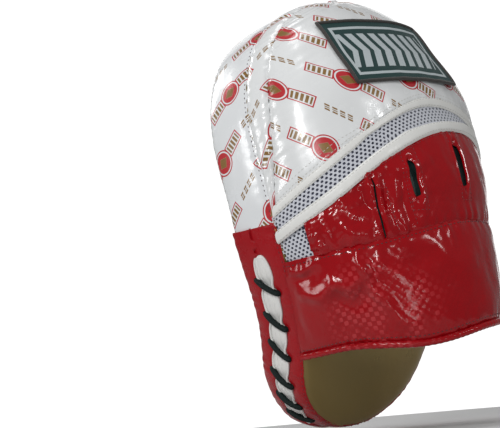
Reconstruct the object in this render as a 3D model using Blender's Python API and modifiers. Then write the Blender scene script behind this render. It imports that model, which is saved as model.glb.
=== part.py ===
"""Right-hand focus mitt: a curved striking pad with a finger hood, a hand cover and a wrist cuff on its back.

The pad is laid out flat and then bent. A place on it has three coordinates in millimetres: x across it, towards
the thumb, height along it from the heel to the fingertips, and depth through it from the striking face to the hand.
bend() turns them into the world, where +Z runs to the fingertips, -Y is the way the face strikes, and the origin is
the middle of the palm on the pad's back. The arch over the hand has an angle instead of x, from the thumb's seam at
0 degrees over the knuckles at 90 to the little finger's seam at 180.
"""

import math

import bmesh
import bpy
import numpy as np
from mathutils import Matrix, Vector

MM = 0.001

# Pad outline and bend
PAD_HEIGHT = 266.0
PAD_HALF_WIDTH = 92.0
PAD_DEPTH = 39.0
HEEL_ROUND = 46.0
HEEL_HALF_WIDTH = 42.0
HEEL_TAPER = 0.35
HEEL_TAPER_END = 105.0
WIDEST_AT = 175.0
HEEL_ROUNDNESS = 2.2
CROWN_ROUNDNESS = 2.3
THUMB_SWELL = 5.8
THUMB_SWELL_AT = 112.0
THUMB_SWELL_LENGTH = 38.0
LOWER_SLOPE = 0.43
UPPER_SLOPE = 0.243
BEND_START = 46.0
BEND_END = 155.0
HEEL_LIFT = 8.4
HEEL_LIFT_END = 33.0
FACE_CROWN = 3.5
BACK_CROWN = 0.8

# Sheet thicknesses and the gap between pieces
LEATHER = 1.8
GUSSET_LEATHER = 1.6
SKIN = 1.4
LINING = 0.8
HOOD_FOAM = 5.0
CUFF_FOAM = 4.5
GAP = 0.4

# Arch over the hand: height of its crown above the pad's back, against the height on the pad
ARCH_CROWN = (
    (40, 112), (55, 105), (80, 94), (105, 83), (130, 74), (160, 60),
    (190, 52), (215, 41), (235, 33), (250, 23), (260, 13), (266, 0),
)
ARCH_BASE = 1.2
ARCH_LEAN = 5.0
STRIP_START = 130.0
STRIP_WIDTH = ((130, 0), (160, 10), (190, 15), (215, 15.5), (240, 16), (266, 17))
STRIP_LEAN = 4.0

# Seams on the arch: (angle in degrees, height on the pad)
HOOD_EDGE = ((0, 134), (45, 154), (92, 178), (125, 172), (180, 140))
MESH_TOP = ((0, 128), (45, 148.5), (92, 172), (110, 169.5), (124, 164.5), (136, 159.5), (180, 130.5))
MESH_BOTTOM = ((0, 122), (30, 136.5), (60, 151.5), (95, 162.5), (110, 164), (124, 163.5), (136, 159), (180, 130))
COVER_TOP = ((0, 115.5), (30, 129), (60, 144.5), (95, 155), (125, 153.5), (180, 121))
CUFF_TOP = ((0, 105), (45, 112), (90, 119), (130, 118), (180, 106))
HEM = ((0, 57), (18, 67), (60, 76), (95, 82), (140, 79), (160, 74), (180, 66))
MESH_END = 120.0
VENT_END = 17.0
CUFF_END = 161.0
SLITS = ((51, 137.5, 116.5), (70.5, 143, 129), (102.5, 149, 132))
SLIT_WIDTH = 3.4

# Lace and its slot, along the gusset from the thumb's colour seam round the heel
COLOUR_SEAM = 126.0
SLOT_TOP = 111.0
SLOT_HALF_WIDTH = 6.0
LACE_DIAMETER = 4.0
LACE_HOLE = 2.9
LACE_SLANT = 5.5
LACE_REACH = 9.2
LACE_OVER = -2.4
LACE_UNDER = 6.2
CROSSINGS = (39.0, 64.0, 85.0, 106.0, 126.0, 144.0)

# Wrist strap
STRAP_ROOT = 153.0
STRAP_HEIGHT = 95.0
STRAP_DROP = 12.0
STRAP_ON_PAD = 30.0
STRAP_TIP_DEPTH = 10.0
STRAP_HALF_HEIGHT = 16.0
STRAP_THICKNESS = 2.2
PATCH = 1.2

# Label and palm grip
LABEL_CENTRE = (88, 214)
LABEL_SIZE = (86.0, 50.0)
LABEL_THICKNESS = 1.4
GRIP_RADII = (27.0, 15.0, 24.0)
GRIP_HEIGHT = 108.0

WHITE = (0.86, 0.87, 0.85, 1)
RED = (0.52, 0.02, 0.035, 1)
OLIVE = (0.11, 0.09, 0.045, 1)
GREEN = (0.012, 0.045, 0.038, 1)
FOAM = (0.25, 0.25, 0.27, 1)
GREY = (0.55, 0.57, 0.62, 1)
BLACK = (0.012, 0.014, 0.013, 1)


def smooth(value):
    """A ramp from 0 to 1 with level ends."""
    value = np.clip(value, 0, 1)
    return value * value * (3 - 2 * value)


def through(points, at):
    """A smooth curve through (place, value) points, with the slope at each taken from its neighbours."""
    places, values = np.array(points, float).T
    slopes = np.gradient(values, places)
    at = np.clip(at, places[0], places[-1])
    i = np.clip(np.searchsorted(places, at) - 1, 0, len(places) - 2)
    step = places[i + 1] - places[i]
    u = (at - places[i]) / step
    start = (1 + 2 * u) * (1 - u) ** 2 * values[i] + u * (1 - u) ** 2 * step * slopes[i]
    end = u * u * (3 - 2 * u) * values[i + 1] + u * u * (u - 1) * step * slopes[i + 1]
    return start + end


def half_width(height):
    """Half the pad's width: a round heel, an even taper, and a round crown."""
    height = np.asarray(height, float)
    heel = np.clip((HEEL_ROUND - height) / HEEL_ROUND, 0, 1)
    tapered = (HEEL_HALF_WIDTH + HEEL_TAPER * height) * (1 - heel**2) ** (1 / HEEL_ROUNDNESS)
    crown = np.clip((height - WIDEST_AT) / (PAD_HEIGHT - WIDEST_AT), 0, 1)
    crowned = PAD_HALF_WIDTH * (1 - crown**2) ** (1 / CROWN_ROUNDNESS)
    span = WIDEST_AT - HEEL_TAPER_END
    u = np.clip((height - HEEL_TAPER_END) / span, 0, 1)
    low = HEEL_HALF_WIDTH + HEEL_TAPER * HEEL_TAPER_END
    middle = low + (PAD_HALF_WIDTH - low) * smooth(u) + HEEL_TAPER * span * u * (1 - u) ** 2
    return np.where(height < HEEL_TAPER_END, tapered, np.where(height > WIDEST_AT, crowned, middle))


def centre(height):
    """Middle of the pad at a height, which swells towards the thumb."""
    return THUMB_SWELL * np.exp(-(((np.asarray(height, float) - THUMB_SWELL_AT) / THUMB_SWELL_LENGTH) ** 2))


def slope(height):
    """Forward lean of the face: the heel and the crown come forward of the middle."""
    u = np.clip((np.asarray(height, float) - BEND_START) / (BEND_END - BEND_START), 0, 1)
    return -LOWER_SLOPE + (LOWER_SLOPE + UPPER_SLOPE) * u


def forward(height):
    """How far the face is in front of its deepest line."""
    height = np.asarray(height, float)
    span = BEND_END - BEND_START
    rate = (LOWER_SLOPE + UPPER_SLOPE) / span
    inside = np.clip(height, BEND_START, BEND_END)
    out = 0.5 * rate * (inside - palm_height()) ** 2
    out = out + np.where(height < BEND_START, LOWER_SLOPE * (BEND_START - height), 0)
    return out + np.where(height > BEND_END, UPPER_SLOPE * (height - BEND_END), 0)


def palm_height():
    """Height of the face's deepest line, which the origin is level with."""
    return BEND_START + (BEND_END - BEND_START) * LOWER_SLOPE / (LOWER_SLOPE + UPPER_SLOPE)


def bend(x, height, depth):
    """World point in millimetres of a place on the flat pad."""
    x, height, depth = np.broadcast_arrays(x, height, depth)
    lean = np.arctan(slope(height))
    y = -PAD_DEPTH - forward(height) + depth * np.cos(lean)
    z = height - palm_height() + depth * np.sin(lean)
    return np.stack([x, y, z], -1)


def wall(turn, depth, inset=0.0):
    """Point on the pad's side wall: turn is 0 at the heel, 1 at the crown by the thumb, and -1 by the other side."""
    turn, depth = np.broadcast_arrays(np.asarray(turn, float), np.asarray(depth, float))
    step = 1e-4

    def edge(at):
        at = (at + 1) % 2 - 1
        height = PAD_HEIGHT / 2 * (1 - np.cos(np.pi * at))
        return centre(height) + np.sign(at) * half_width(height), height

    x, height = edge(turn)
    ahead, behind = edge(turn + step), edge(turn - step)
    along = np.stack([ahead[0] - behind[0], ahead[1] - behind[1]], -1)
    along /= np.maximum(np.linalg.norm(along, axis=-1, keepdims=True), 1e-12)
    x = x - along[..., 1] * inset
    height = height + along[..., 0] * inset
    lift = HEEL_LIFT * np.clip((HEEL_LIFT_END - height) / HEEL_LIFT_END, 0, 1) ** 1.5
    return bend(x, height + lift * depth / PAD_DEPTH, depth)


def turn_at(height):
    """The wall's turn at a height on the thumb's side."""
    return math.acos(1 - 2 * height / PAD_HEIGHT) / math.pi


def wall_lengths(count=801):
    """Turns down the thumb's side, round the heel and up the other side, and the length of wall behind each."""
    turns = np.linspace(turn_at(COLOUR_SEAM), -turn_at(COLOUR_SEAM), count)
    points = wall(turns, PAD_DEPTH / 2)
    steps = np.linalg.norm(np.diff(points, axis=0), axis=1)
    return turns, np.concatenate([[0], np.cumsum(steps)])


def turn_after(length):
    """The wall's turn at a length from the thumb's colour seam."""
    turns, lengths = wall_lengths()
    return np.interp(length, lengths, turns)


def arch(angle, height):
    """Point on the outside of the arch over the hand, at an angle in degrees and a height on the pad."""
    angle, height = np.broadcast_arrays(np.asarray(angle, float), np.asarray(height, float))
    strip = np.where(height > STRIP_START, through(STRIP_WIDTH, height), 0)
    # Taken against the root of the distance to the top, the crown closes as round as an ellipse.
    rise = [(-math.sqrt(PAD_HEIGHT + 1 - place), value) for place, value in ARCH_CROWN]
    crown = through(rise, -np.sqrt(np.clip(PAD_HEIGHT + 1 - height, 0, None)))
    across, up = np.cos(np.radians(angle)), np.sin(np.radians(angle))
    width = half_width(height) - STRIP_LEAN * strip / STRIP_WIDTH[-1][1]
    x = centre(height) + width * across - ARCH_LEAN * up**2 * np.clip((200 - height) / 80, 0, 1)
    return bend(x, height, PAD_DEPTH + ARCH_BASE + strip + crown * up)


def between(low, high, angles, rows, margin=GAP / 2):
    """Grid of arch points between two seams, one row of angles for each step up."""
    bottom = through(low, angles) + margin
    top = through(high, angles) - margin
    return np.array([arch(angles, bottom + (top - bottom) * k) for k in np.linspace(0, 1, rows)])


def material(name, colour, roughness):
    """A plain Principled material."""
    made = bpy.data.materials.get(name) or bpy.data.materials.new(name)
    made.use_nodes = True
    shader = made.node_tree.nodes["Principled BSDF"]
    shader.inputs["Base Color"].default_value = colour
    shader.inputs["Roughness"].default_value = roughness
    return made


def add(name, mesh, finish, home="focus_mitt"):
    """A mesh as a named object in a collection, smooth except at its corners."""
    obj = bpy.data.objects.new(name, mesh)
    bpy.data.collections[home].objects.link(obj)
    mesh.shade_smooth()
    mesh.set_sharp_from_angle(angle=math.radians(40))
    mesh.materials.append(material(*finish))
    return obj


def grid_faces(bm, points, closed=False):
    """Adds a grid of points to a mesh as quads, and gives its vertices back row by row."""
    rows = [[bm.verts.new(Vector(p) * MM) for p in row] for row in points]
    for a, b in zip(rows, rows[1:]):
        last = len(a) if closed else len(a) - 1
        for i in range(last):
            j = (i + 1) % len(a)
            bm.faces.new((a[i], a[j], b[j], b[i]))
    return rows


def face_away(bm, point):
    """Turns an open sheet's normals away from a point in millimetres."""
    bmesh.ops.recalc_face_normals(bm, faces=bm.faces)
    bm.normal_update()
    away = sum(f.normal.dot(f.calc_center_median() - Vector(point) * MM) * f.calc_area() for f in bm.faces)
    if away < 0:
        bmesh.ops.reverse_faces(bm, faces=bm.faces)
        bm.normal_update()


def shell(name, grids, thickness, finish, depth=0.0, core=(0, -20, 0)):
    """Sheet through one or more grids of points, moved in by depth and given its thickness inwards."""
    bm = bmesh.new()
    for points in grids:
        grid_faces(bm, points)
    bmesh.ops.remove_doubles(bm, verts=bm.verts, dist=0.02 * MM)
    face_away(bm, core)
    moves = [(v, v.normal.copy()) for v in bm.verts]
    for vert, normal in moves:
        vert.co -= normal * depth * MM
    mesh = bpy.data.meshes.new(name)
    bm.to_mesh(mesh)
    bm.free()
    obj = add(name, mesh, finish)
    wall_of = obj.modifiers.new("Thickness", "SOLIDIFY")
    wall_of.thickness = thickness * MM
    wall_of.offset = -1
    return obj


def block(name, front, back, finish, home="focus_mitt"):
    """Closed solid lofted between two grids of points."""
    bm = bmesh.new()
    a = grid_faces(bm, front)
    b = grid_faces(bm, back)
    rim_a = a[0] + [row[-1] for row in a[1:]] + a[-1][-2::-1] + [row[0] for row in a[-2:0:-1]]
    rim_b = b[0] + [row[-1] for row in b[1:]] + b[-1][-2::-1] + [row[0] for row in b[-2:0:-1]]
    for i in range(len(rim_a)):
        j = (i + 1) % len(rim_a)
        bm.faces.new((rim_a[i], rim_a[j], rim_b[j], rim_b[i]))
    bmesh.ops.remove_doubles(bm, verts=bm.verts, dist=0.02 * MM)
    bmesh.ops.recalc_face_normals(bm, faces=bm.faces)
    mesh = bpy.data.meshes.new(name)
    bm.to_mesh(mesh)
    bm.free()
    return add(name, mesh, finish, home)


def cut(obj, cutter):
    """Cuts one object with another, which becomes a hidden wire cutter."""
    cutter.hide_render = True
    cutter.display_type = "WIRE"
    boolean = obj.modifiers.new("Cut", "BOOLEAN")
    boolean.operation = "DIFFERENCE"
    boolean.solver = "EXACT"
    boolean.object = cutter


def tube(name, points, radius, finish, cyclic=False):
    """Round cord along points in millimetres."""
    curve = bpy.data.curves.new(name, "CURVE")
    curve.dimensions = "3D"
    curve.bevel_depth = radius * MM
    curve.bevel_resolution = 1
    curve.use_fill_caps = True
    spline = curve.splines.new("POLY")
    spline.points.add(len(points) - 1)
    for knot, point in zip(spline.points, points):
        knot.co = (*(np.asarray(point) * MM), 1)
    spline.use_cyclic_u = cyclic
    curve.materials.append(material(*finish))
    obj = bpy.data.objects.new(name, curve)
    bpy.data.collections["focus_mitt"].objects.link(obj)
    return obj


def layer(low, high, inset, rows=25, columns=9):
    """Two grids over the pad's outline, at depths given as functions of how near the rim a place is."""
    grids = []
    for depth in (low, high):
        grid = []
        for at in np.linspace(0, 1, rows):
            right, left = wall(at, 0, inset), wall(-at, 0, inset)
            height = right[2] + palm_height()
            lift = HEEL_LIFT * np.clip((HEEL_LIFT_END - height) / HEEL_LIFT_END, 0, 1) ** 1.5
            row = []
            for v in np.sin(np.linspace(-1, 1, columns) * math.pi / 2):
                fullness = (1 - abs(v) ** 6) * (1 - abs(2 * at - 1) ** 6)
                through_pad = depth(fullness)
                x = (left[0] + right[0]) / 2 + v * (right[0] - left[0]) / 2
                row.append(bend(x, height + lift * through_pad / PAD_DEPTH, through_pad))
            grid.append(row)
        grids.append(np.array(grid))
    return grids


def face_depth(fullness):
    """Depth of the striking face's outside."""
    return -FACE_CROWN * fullness


def back_depth(fullness):
    """Depth of the back panel's outside."""
    return PAD_DEPTH + BACK_CROWN * fullness


def channel_cutter():
    """The room that the lace and its tongue take out of the foam behind the slot."""
    turns = turn_after(np.linspace(4, slot_end() + 12, 41))
    depths = np.linspace(PAD_DEPTH / 2 - 13, PAD_DEPTH / 2 + 13, 4)
    outside = np.array([wall(turns, d, 1.0) for d in depths])
    inside = np.array([wall(turns, d, LACE_UNDER + LACE_DIAMETER / 2 + 0.6) for d in depths])
    return block("lace_channel_cutter", outside, inside, ("cutter", GREY, 0.5), "cutters")


def build_pad():
    """Striking face, two foam layers and the palm's leather panel."""
    half = 16.0
    front, back = layer(face_depth, lambda full: face_depth(full) + LEATHER, 0.0)
    block("striking_face", front, back, ("white_leather", WHITE, 0.4))
    inset = GUSSET_LEATHER + 3 * GAP
    channel = channel_cutter()
    front, back = layer(lambda full: face_depth(full) + LEATHER + GAP, lambda full: half, inset)
    cut(block("impact_foam", front, back, ("foam", FOAM, 0.9)), channel)
    front, back = layer(lambda full: half + GAP, lambda full: back_depth(full) - LEATHER - GAP, inset)
    cut(block("core_foam", front, back, ("foam", FOAM, 0.9)), channel)
    front, back = layer(lambda full: back_depth(full) - LEATHER, back_depth, 0.0)
    block("palm_panel", front, back, ("olive_leather", OLIVE, 0.35))


def slot_end():
    """Length along the wall at which the lace slot ends."""
    return CROSSINGS[-1] + 12.3


def slot_start():
    """Length along the wall at which the lace slot starts."""
    turns, lengths = wall_lengths()
    return float(np.interp(-turn_at(SLOT_TOP), -turns, lengths))


def slot_opening(length):
    """Half of the slot's opening at a length along the wall, with round ends."""
    middle = (slot_start() + slot_end()) / 2
    reach = (slot_end() - slot_start()) / 2
    return SLOT_HALF_WIDTH * np.sqrt(np.clip(1 - np.abs((length - middle) / reach) ** 14, 0, 1))


def build_gussets():
    """The pad's side wall: white round the fingers, and red round the heel with the lace slot."""
    depths = np.linspace(LEATHER + GAP, PAD_DEPTH - LEATHER - 1.5 * GAP, 4)
    seam = turn_at(COLOUR_SEAM) + 0.002
    turns = np.concatenate([np.linspace(seam, 1, 20), np.linspace(-1, -seam, 20)[1:]])
    grid = np.array([wall(turns, d) for d in depths])
    shell("upper_gusset", [grid], GUSSET_LEATHER, ("white_leather", WHITE, 0.35))

    total = wall_lengths()[1][-1]
    ends = np.linspace(slot_start(), slot_end(), 33)
    bends = (ends[0] + 1.2, ends[-1] - 1.2)
    lengths = np.unique(np.concatenate([np.linspace(0, ends[0], 4), ends, bends, np.linspace(ends[-1], total, 22)]))
    opening = slot_opening(lengths)
    middle = PAD_DEPTH / 2
    turns = turn_after(lengths)
    front = [wall(turns, depths[0] + (middle - opening - depths[0]) * k) for k in (0, 0.5, 1)]
    back = [wall(turns, middle + opening + (depths[-1] - middle - opening) * k) for k in (0, 0.5, 1)]
    lower = shell("lower_gusset", [np.array(front), np.array(back)], GUSSET_LEATHER, ("red_leather", RED, 0.3))
    cut(lower, hole_cutters())


def hole_places():
    """Length along the wall and depth of each lace hole, front and back of each crossing in turn."""
    middle = PAD_DEPTH / 2
    places = []
    for at in CROSSINGS:
        places.append((at - LACE_SLANT, middle - LACE_REACH))
        places.append((at + LACE_SLANT, middle + LACE_REACH))
    return places


def hole_cutters():
    """One cutter with a short peg for each lace hole."""
    bm = bmesh.new()
    for length, depth in hole_places():
        turn = turn_after(length)
        outer = Vector(wall(turn, depth, -3.0)) * MM
        inner = Vector(wall(turn, depth, 4.0)) * MM
        axis = (outer - inner).normalized()
        place = Matrix.Translation((outer + inner) / 2) @ axis.to_track_quat("Z", "Y").to_matrix().to_4x4()
        span = (outer - inner).length
        radius = LACE_HOLE * MM
        bmesh.ops.create_cone(
            bm, cap_ends=True, segments=10, radius1=radius, radius2=radius, depth=span, matrix=place
        )
    mesh = bpy.data.meshes.new("lace_hole_cutters")
    bm.to_mesh(mesh)
    bm.free()
    return add("lace_hole_cutters", mesh, ("cutter", GREY, 0.5), "cutters")


def build_lacing():
    """White tongue and bead of the slot, and the lace wound over and under it."""
    middle = PAD_DEPTH / 2
    turns = turn_after(np.linspace(slot_start() - 3, slot_end() + 3, 34))
    inset = GUSSET_LEATHER + 2 * GAP
    edges = (middle - LACE_REACH + LACE_DIAMETER / 2 + 0.8, middle + LACE_REACH - LACE_DIAMETER / 2 - 0.8)
    grids = [np.array([wall(turns, d, at) for d in np.linspace(*edges, 3)]) for at in (inset, inset + SKIN)]
    block("lace_tongue", *grids, ("white_leather", WHITE, 0.4))

    bead = 0.7
    lengths = np.linspace(slot_start(), slot_end(), 27)[1:-1]
    half = np.maximum(slot_opening(lengths) - bead - GAP, bead + 0.3)
    first = wall(turn_after(lengths), middle - half, 0.8)
    second = wall(turn_after(lengths), middle + half, 0.8)
    tube("slot_bead", [*first, *second[::-1]], bead, ("white_leather", WHITE, 0.4), cyclic=True)

    route = []
    for i, (length, depth) in enumerate(hole_places()):
        side = 1 if i % 2 else -1
        ins_outs = (LACE_UNDER, 3.4, 0.4, LACE_OVER + 0.7)
        steps = ins_outs if side < 0 else ins_outs[::-1]
        route += [(length, depth, inset) for inset in steps]
        nearer, further = length + LACE_SLANT * 0.3, length + LACE_SLANT * 1.7
        if side < 0:
            inner_depths = (depth + LACE_REACH * 0.3, depth + LACE_REACH * 1.7)
            route += [(nearer, inner_depths[0], LACE_OVER), (further, inner_depths[1], LACE_OVER)]
    route = [(route[0][0] - 8, route[0][1] + 4, LACE_UNDER), *route, (route[-1][0] + 8, route[-1][1] - 4, LACE_UNDER)]
    points = [wall(turn_after(length), depth, inset) for length, depth, inset in route]
    tube("lace", points, LACE_DIAMETER / 2, ("black_cord", BLACK, 0.8))


def build_hood():
    """Finger hood: side strip, domed panel with its padding and lining, and the label."""
    turns = np.linspace(turn_at(STRIP_START + 16), 1, 22)
    heights = PAD_HEIGHT / 2 * (1 - np.cos(np.pi * turns))
    grid = []
    for k in (0, 1):
        rows = []
        for side in (1, -1):
            strip = (through(STRIP_WIDTH, heights) - 1.5 * GAP) * k
            width = half_width(heights) - STRIP_LEAN * strip / STRIP_WIDTH[-1][1]
            depth = PAD_DEPTH + 2.5 * GAP + strip
            rows.append(bend(centre(heights) + side * width, heights, depth))
        grid.append(np.concatenate([rows[0], rows[1][-2::-1]]))
    shell("hood_side_strip", [np.array(grid)], LEATHER, ("white_leather", WHITE, 0.35))

    shell("hood_panel", [hood_grid(0.0, 180.0, GAP, 21, 12)], SKIN, ("white_leather", WHITE, 0.35))
    padding = hood_grid(6.0, 174.0, 3.0, 17, 10)
    shell("hood_foam", [padding], HOOD_FOAM, ("foam", FOAM, 0.9), depth=SKIN + 3 * GAP)
    shell("hood_lining", [padding], LINING, ("lining", GREEN, 0.8), depth=SKIN + HOOD_FOAM + 4 * GAP)

    low, high = LABEL_SIZE[1] / 2, -LABEL_SIZE[1] / 2
    rows = [label_row(k) for k in np.linspace(high, low, 5)]
    shell("label_patch", [np.array(rows)], LABEL_THICKNESS, ("label", GREEN, 0.7), depth=-LABEL_THICKNESS - GAP)


def hood_grid(first, last, margin, columns, rows):
    """Grid over the hood from its lower edge to its top."""
    angles = np.linspace(first, last, columns)
    low = through(HOOD_EDGE, angles) + GAP / 2 + margin
    grid = []
    for k in np.sin(np.linspace(0, 1, rows) * math.pi / 2):
        heights = low + (PAD_HEIGHT - margin - low) * k
        grid.append(arch(angles, heights))
    return np.array(grid)


def label_row(up):
    """Row of places on the hood, a distance up from the label's middle."""
    angles = np.linspace(0, 180, 181)
    height = LABEL_CENTRE[1] + up * 0.92
    line = arch(angles, height)
    lengths = np.concatenate([[0], np.cumsum(np.linalg.norm(np.diff(line, axis=0), axis=1))])
    middle = np.interp(LABEL_CENTRE[0], angles, lengths)
    at = middle + np.linspace(-0.5, 0.5, 9) * LABEL_SIZE[0]
    return arch(np.interp(at, lengths, angles), height)


def build_cover():
    """Bands and vents under the hood, and the red hand cover with its slits and lining."""
    angles = np.linspace(0, 180, 31)
    shell("hood_edge_band", [between(MESH_TOP, HOOD_EDGE, angles, 2)], LEATHER, ("white_leather", WHITE, 0.5))
    mesh_angles = np.linspace(1, MESH_END, 23)
    grid = between(MESH_BOTTOM, MESH_TOP, mesh_angles, 2, GAP)
    shell("vent_mesh", [grid], SKIN, ("mesh", GREY, 0.7))
    shell("cover_edge_band", [between(COVER_TOP, MESH_BOTTOM, angles, 2)], LEATHER, ("white_leather", WHITE, 0.5))
    grid = between(CUFF_TOP, COVER_TOP, np.linspace(1, VENT_END, 4), 2)
    shell("thumb_vent_mesh", [grid], SKIN, ("mesh", GREY, 0.7))

    grid = between(CUFF_TOP, COVER_TOP, np.linspace(VENT_END + 0.4, 180, 27), 5)
    cover = shell("hand_cover", [grid], LEATHER, ("red_patent", RED, 0.15))
    cut(cover, slit_cutters())
    grid = between(CUFF_TOP, COVER_TOP, np.linspace(VENT_END + 3, 176, 19), 4, 1.0)
    shell("cover_lining", [grid], LINING, ("lining", GREEN, 0.8), depth=LEATHER + 2 * GAP)


def slit_cutters():
    """One cutter with a long round-ended peg for each slit."""
    bm = bmesh.new()
    for angle, top, bottom in SLITS:
        ends = [Vector(arch(angle, height)) * MM for height in (top, bottom)]
        middle = Vector(arch(angle, (top + bottom) / 2)) * MM
        across = (Vector(arch(angle + 1, (top + bottom) / 2)) * MM - middle).normalized()
        along = (ends[0] - ends[1]).normalized()
        out = across.cross(along).normalized()
        across = along.cross(out)
        turn = Matrix((across, along, out)).transposed().to_4x4()
        length = (ends[0] - ends[1]).length
        size = Matrix.Diagonal((SLIT_WIDTH * MM, length, 14 * MM, 1))
        made = bmesh.ops.create_cube(bm, size=1.0, matrix=Matrix.Translation(middle) @ turn @ size)
        edges = {e for v in made["verts"] for e in v.link_edges}
        upright = [e for e in edges if abs((e.verts[0].co - e.verts[1].co).normalized().dot(out)) > 0.9]
        bmesh.ops.bevel(bm, geom=upright, offset=SLIT_WIDTH * 0.48 * MM, segments=3, affect="EDGES")
    mesh = bpy.data.meshes.new("slit_cutters")
    bm.to_mesh(mesh)
    bm.free()
    return add("slit_cutters", mesh, ("cutter", GREY, 0.5), "cutters")


def build_cuff():
    """Wrist cuff with its padding, lining and rolled hem, and the elastic web that closes its open side."""
    angles = np.linspace(0, CUFF_END, 25)
    grid = between(HEM, CUFF_TOP, angles, 6)
    shell("wrist_cuff", [grid], LEATHER, ("red_patent", RED, 0.15))
    grid = between(HEM, CUFF_TOP, np.linspace(3, CUFF_END - 2, 19), 4, 2.0)
    shell("cuff_foam", [grid], CUFF_FOAM, ("foam", FOAM, 0.9), depth=LEATHER + GAP)
    shell("cuff_lining", [grid], LINING, ("lining", GREEN, 0.8), depth=LEATHER + CUFF_FOAM + 2 * GAP)
    roll = 2.4
    angles = np.linspace(2, CUFF_END - 1, 40)
    tube("cuff_hem", arch(angles, through(HEM, angles) - roll - 0.5), roll, ("red_patent", RED, 0.2))
    web = between(HEM, CUFF_TOP, np.linspace(CUFF_END + 0.6, 180, 6), 4, 1.5)
    shell("elastic_web", [web], SKIN, ("elastic", BLACK, 0.8), depth=0.4)


def strap_line(along, up):
    """Place under the wrist strap, from its root on the cuff at 0 to its tip on the pad's side at 1."""
    height = STRAP_HEIGHT - STRAP_DROP * smooth(along * 1.3) + up
    bow = 180 - STRAP_ROOT
    run = along * (bow + STRAP_ON_PAD)
    over = arch(np.minimum(STRAP_ROOT + run, 180), height)
    turn = -np.arccos(1 - 2 * height / PAD_HEIGHT) / np.pi
    down = np.clip(run - bow, 0, None) / STRAP_ON_PAD
    side = wall(turn, PAD_DEPTH - down * (PAD_DEPTH - STRAP_TIP_DEPTH))
    return np.where((run < bow)[..., None], over, side)


def strap_grid(first, last, half_height, lift, columns=15, rows=4):
    """Grid along the strap, raised off the cuff and the pad by a lift that depends on the place along it."""
    along, up = np.meshgrid(np.linspace(first, last, columns), np.linspace(-half_height, half_height, rows))
    run = strap_line(along + 0.04, up) - strap_line(along - 0.04, up)
    rise = strap_line(along, up + 1) - strap_line(along, up - 1)
    out = np.cross(run, rise)
    out /= np.linalg.norm(out, axis=-1, keepdims=True)
    out *= -np.sign(out[..., :1])
    return strap_line(along, up) + out * lift(along)[..., None]


def build_strap():
    """Hook-and-loop wrist strap, turning about its root on the cuff, with its two patches."""
    rise = 2 * PATCH + 3 * GAP

    def outside(along):
        return STRAP_THICKNESS + GAP + (rise - GAP) * smooth(along / 0.5)

    def hook_side(along):
        return along * 0 + rise - GAP

    def loop_side(along):
        return along * 0 + PATCH + GAP

    face = strap_grid(0.0, 1.0, STRAP_HALF_HEIGHT, outside)
    strap = shell("wrist_strap", [face], STRAP_THICKNESS, ("red_patent", RED, 0.2))
    size = (0.6, 0.96, STRAP_HALF_HEIGHT - 3)
    hook = shell("hook_patch", [strap_grid(*size, hook_side, 8)], PATCH, ("hook_tape", BLACK, 0.9))
    shell("loop_patch", [strap_grid(*size, loop_side, 8)], PATCH, ("loop_tape", BLACK, 0.95))
    low, high = [Vector(row[0]) for row in (face[0], face[-1])]
    hinge = bpy.data.objects.new("strap_hinge", None)
    bpy.data.collections["focus_mitt"].objects.link(hinge)
    hinge.location = (low + high) / 2 * MM
    bpy.context.view_layer.update()
    for obj in (strap, hook):
        obj.parent = hinge
        obj.matrix_parent_inverse = hinge.matrix_world.inverted()


def build_grip():
    """Padded ball that the palm closes on."""
    bm = bmesh.new()
    bmesh.ops.create_uvsphere(bm, u_segments=20, v_segments=12, radius=1.0)
    bmesh.ops.bisect_plane(
        bm, geom=bm.verts[:] + bm.edges[:] + bm.faces[:], plane_co=(0, 0.12, 0), plane_no=(0, 1, 0), clear_inner=True
    )
    bmesh.ops.contextual_create(bm, geom=[e for e in bm.edges if e.is_boundary])
    place = bend(centre(GRIP_HEIGHT), GRIP_HEIGHT, PAD_DEPTH + BACK_CROWN)
    for vert in bm.verts:
        vert.co = Vector(place) * MM + Vector(c * r * MM for c, r in zip(vert.co, GRIP_RADII))
    bmesh.ops.recalc_face_normals(bm, faces=bm.faces)
    mesh = bpy.data.meshes.new("palm_grip")
    bm.to_mesh(mesh)
    bm.free()
    add("palm_grip", mesh, ("olive_leather", OLIVE, 0.4))


def main():
    """Clears the scene and builds the mitt."""
    for obj in list(bpy.data.objects):
        bpy.data.objects.remove(obj)
    for name in ("focus_mitt", "cutters"):
        home = bpy.data.collections.new(name)
        bpy.context.scene.collection.children.link(home)
    build_pad()
    build_gussets()
    build_lacing()
    build_hood()
    build_cover()
    build_cuff()
    build_strap()
    build_grip()


main()
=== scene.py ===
"""Finished look of the right-hand focus mitt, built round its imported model."""

import logging
import math
from collections.abc import Callable, Sequence
from dataclasses import dataclass, field
from enum import Enum
from typing import Any

import bmesh
import bpy
import numpy as np
from bpy.types import Material, Object
from mathutils import Matrix, Vector, noise


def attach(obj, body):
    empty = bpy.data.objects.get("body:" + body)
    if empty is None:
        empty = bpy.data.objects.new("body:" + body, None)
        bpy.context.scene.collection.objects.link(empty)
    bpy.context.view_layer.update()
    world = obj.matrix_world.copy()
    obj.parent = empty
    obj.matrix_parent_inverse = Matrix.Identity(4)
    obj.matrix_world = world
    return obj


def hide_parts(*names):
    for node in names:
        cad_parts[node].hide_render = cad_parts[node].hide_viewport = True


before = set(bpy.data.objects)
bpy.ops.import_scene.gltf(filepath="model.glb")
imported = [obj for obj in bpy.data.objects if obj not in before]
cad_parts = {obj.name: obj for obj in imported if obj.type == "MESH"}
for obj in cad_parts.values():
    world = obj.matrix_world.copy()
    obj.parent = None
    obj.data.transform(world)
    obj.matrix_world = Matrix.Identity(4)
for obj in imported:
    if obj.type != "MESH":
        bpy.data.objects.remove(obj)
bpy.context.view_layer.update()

MM = 0.001
Array = np.ndarray
Curve = Sequence[tuple[float, float]]
log = logging.getLogger("focus_mitt")


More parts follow.
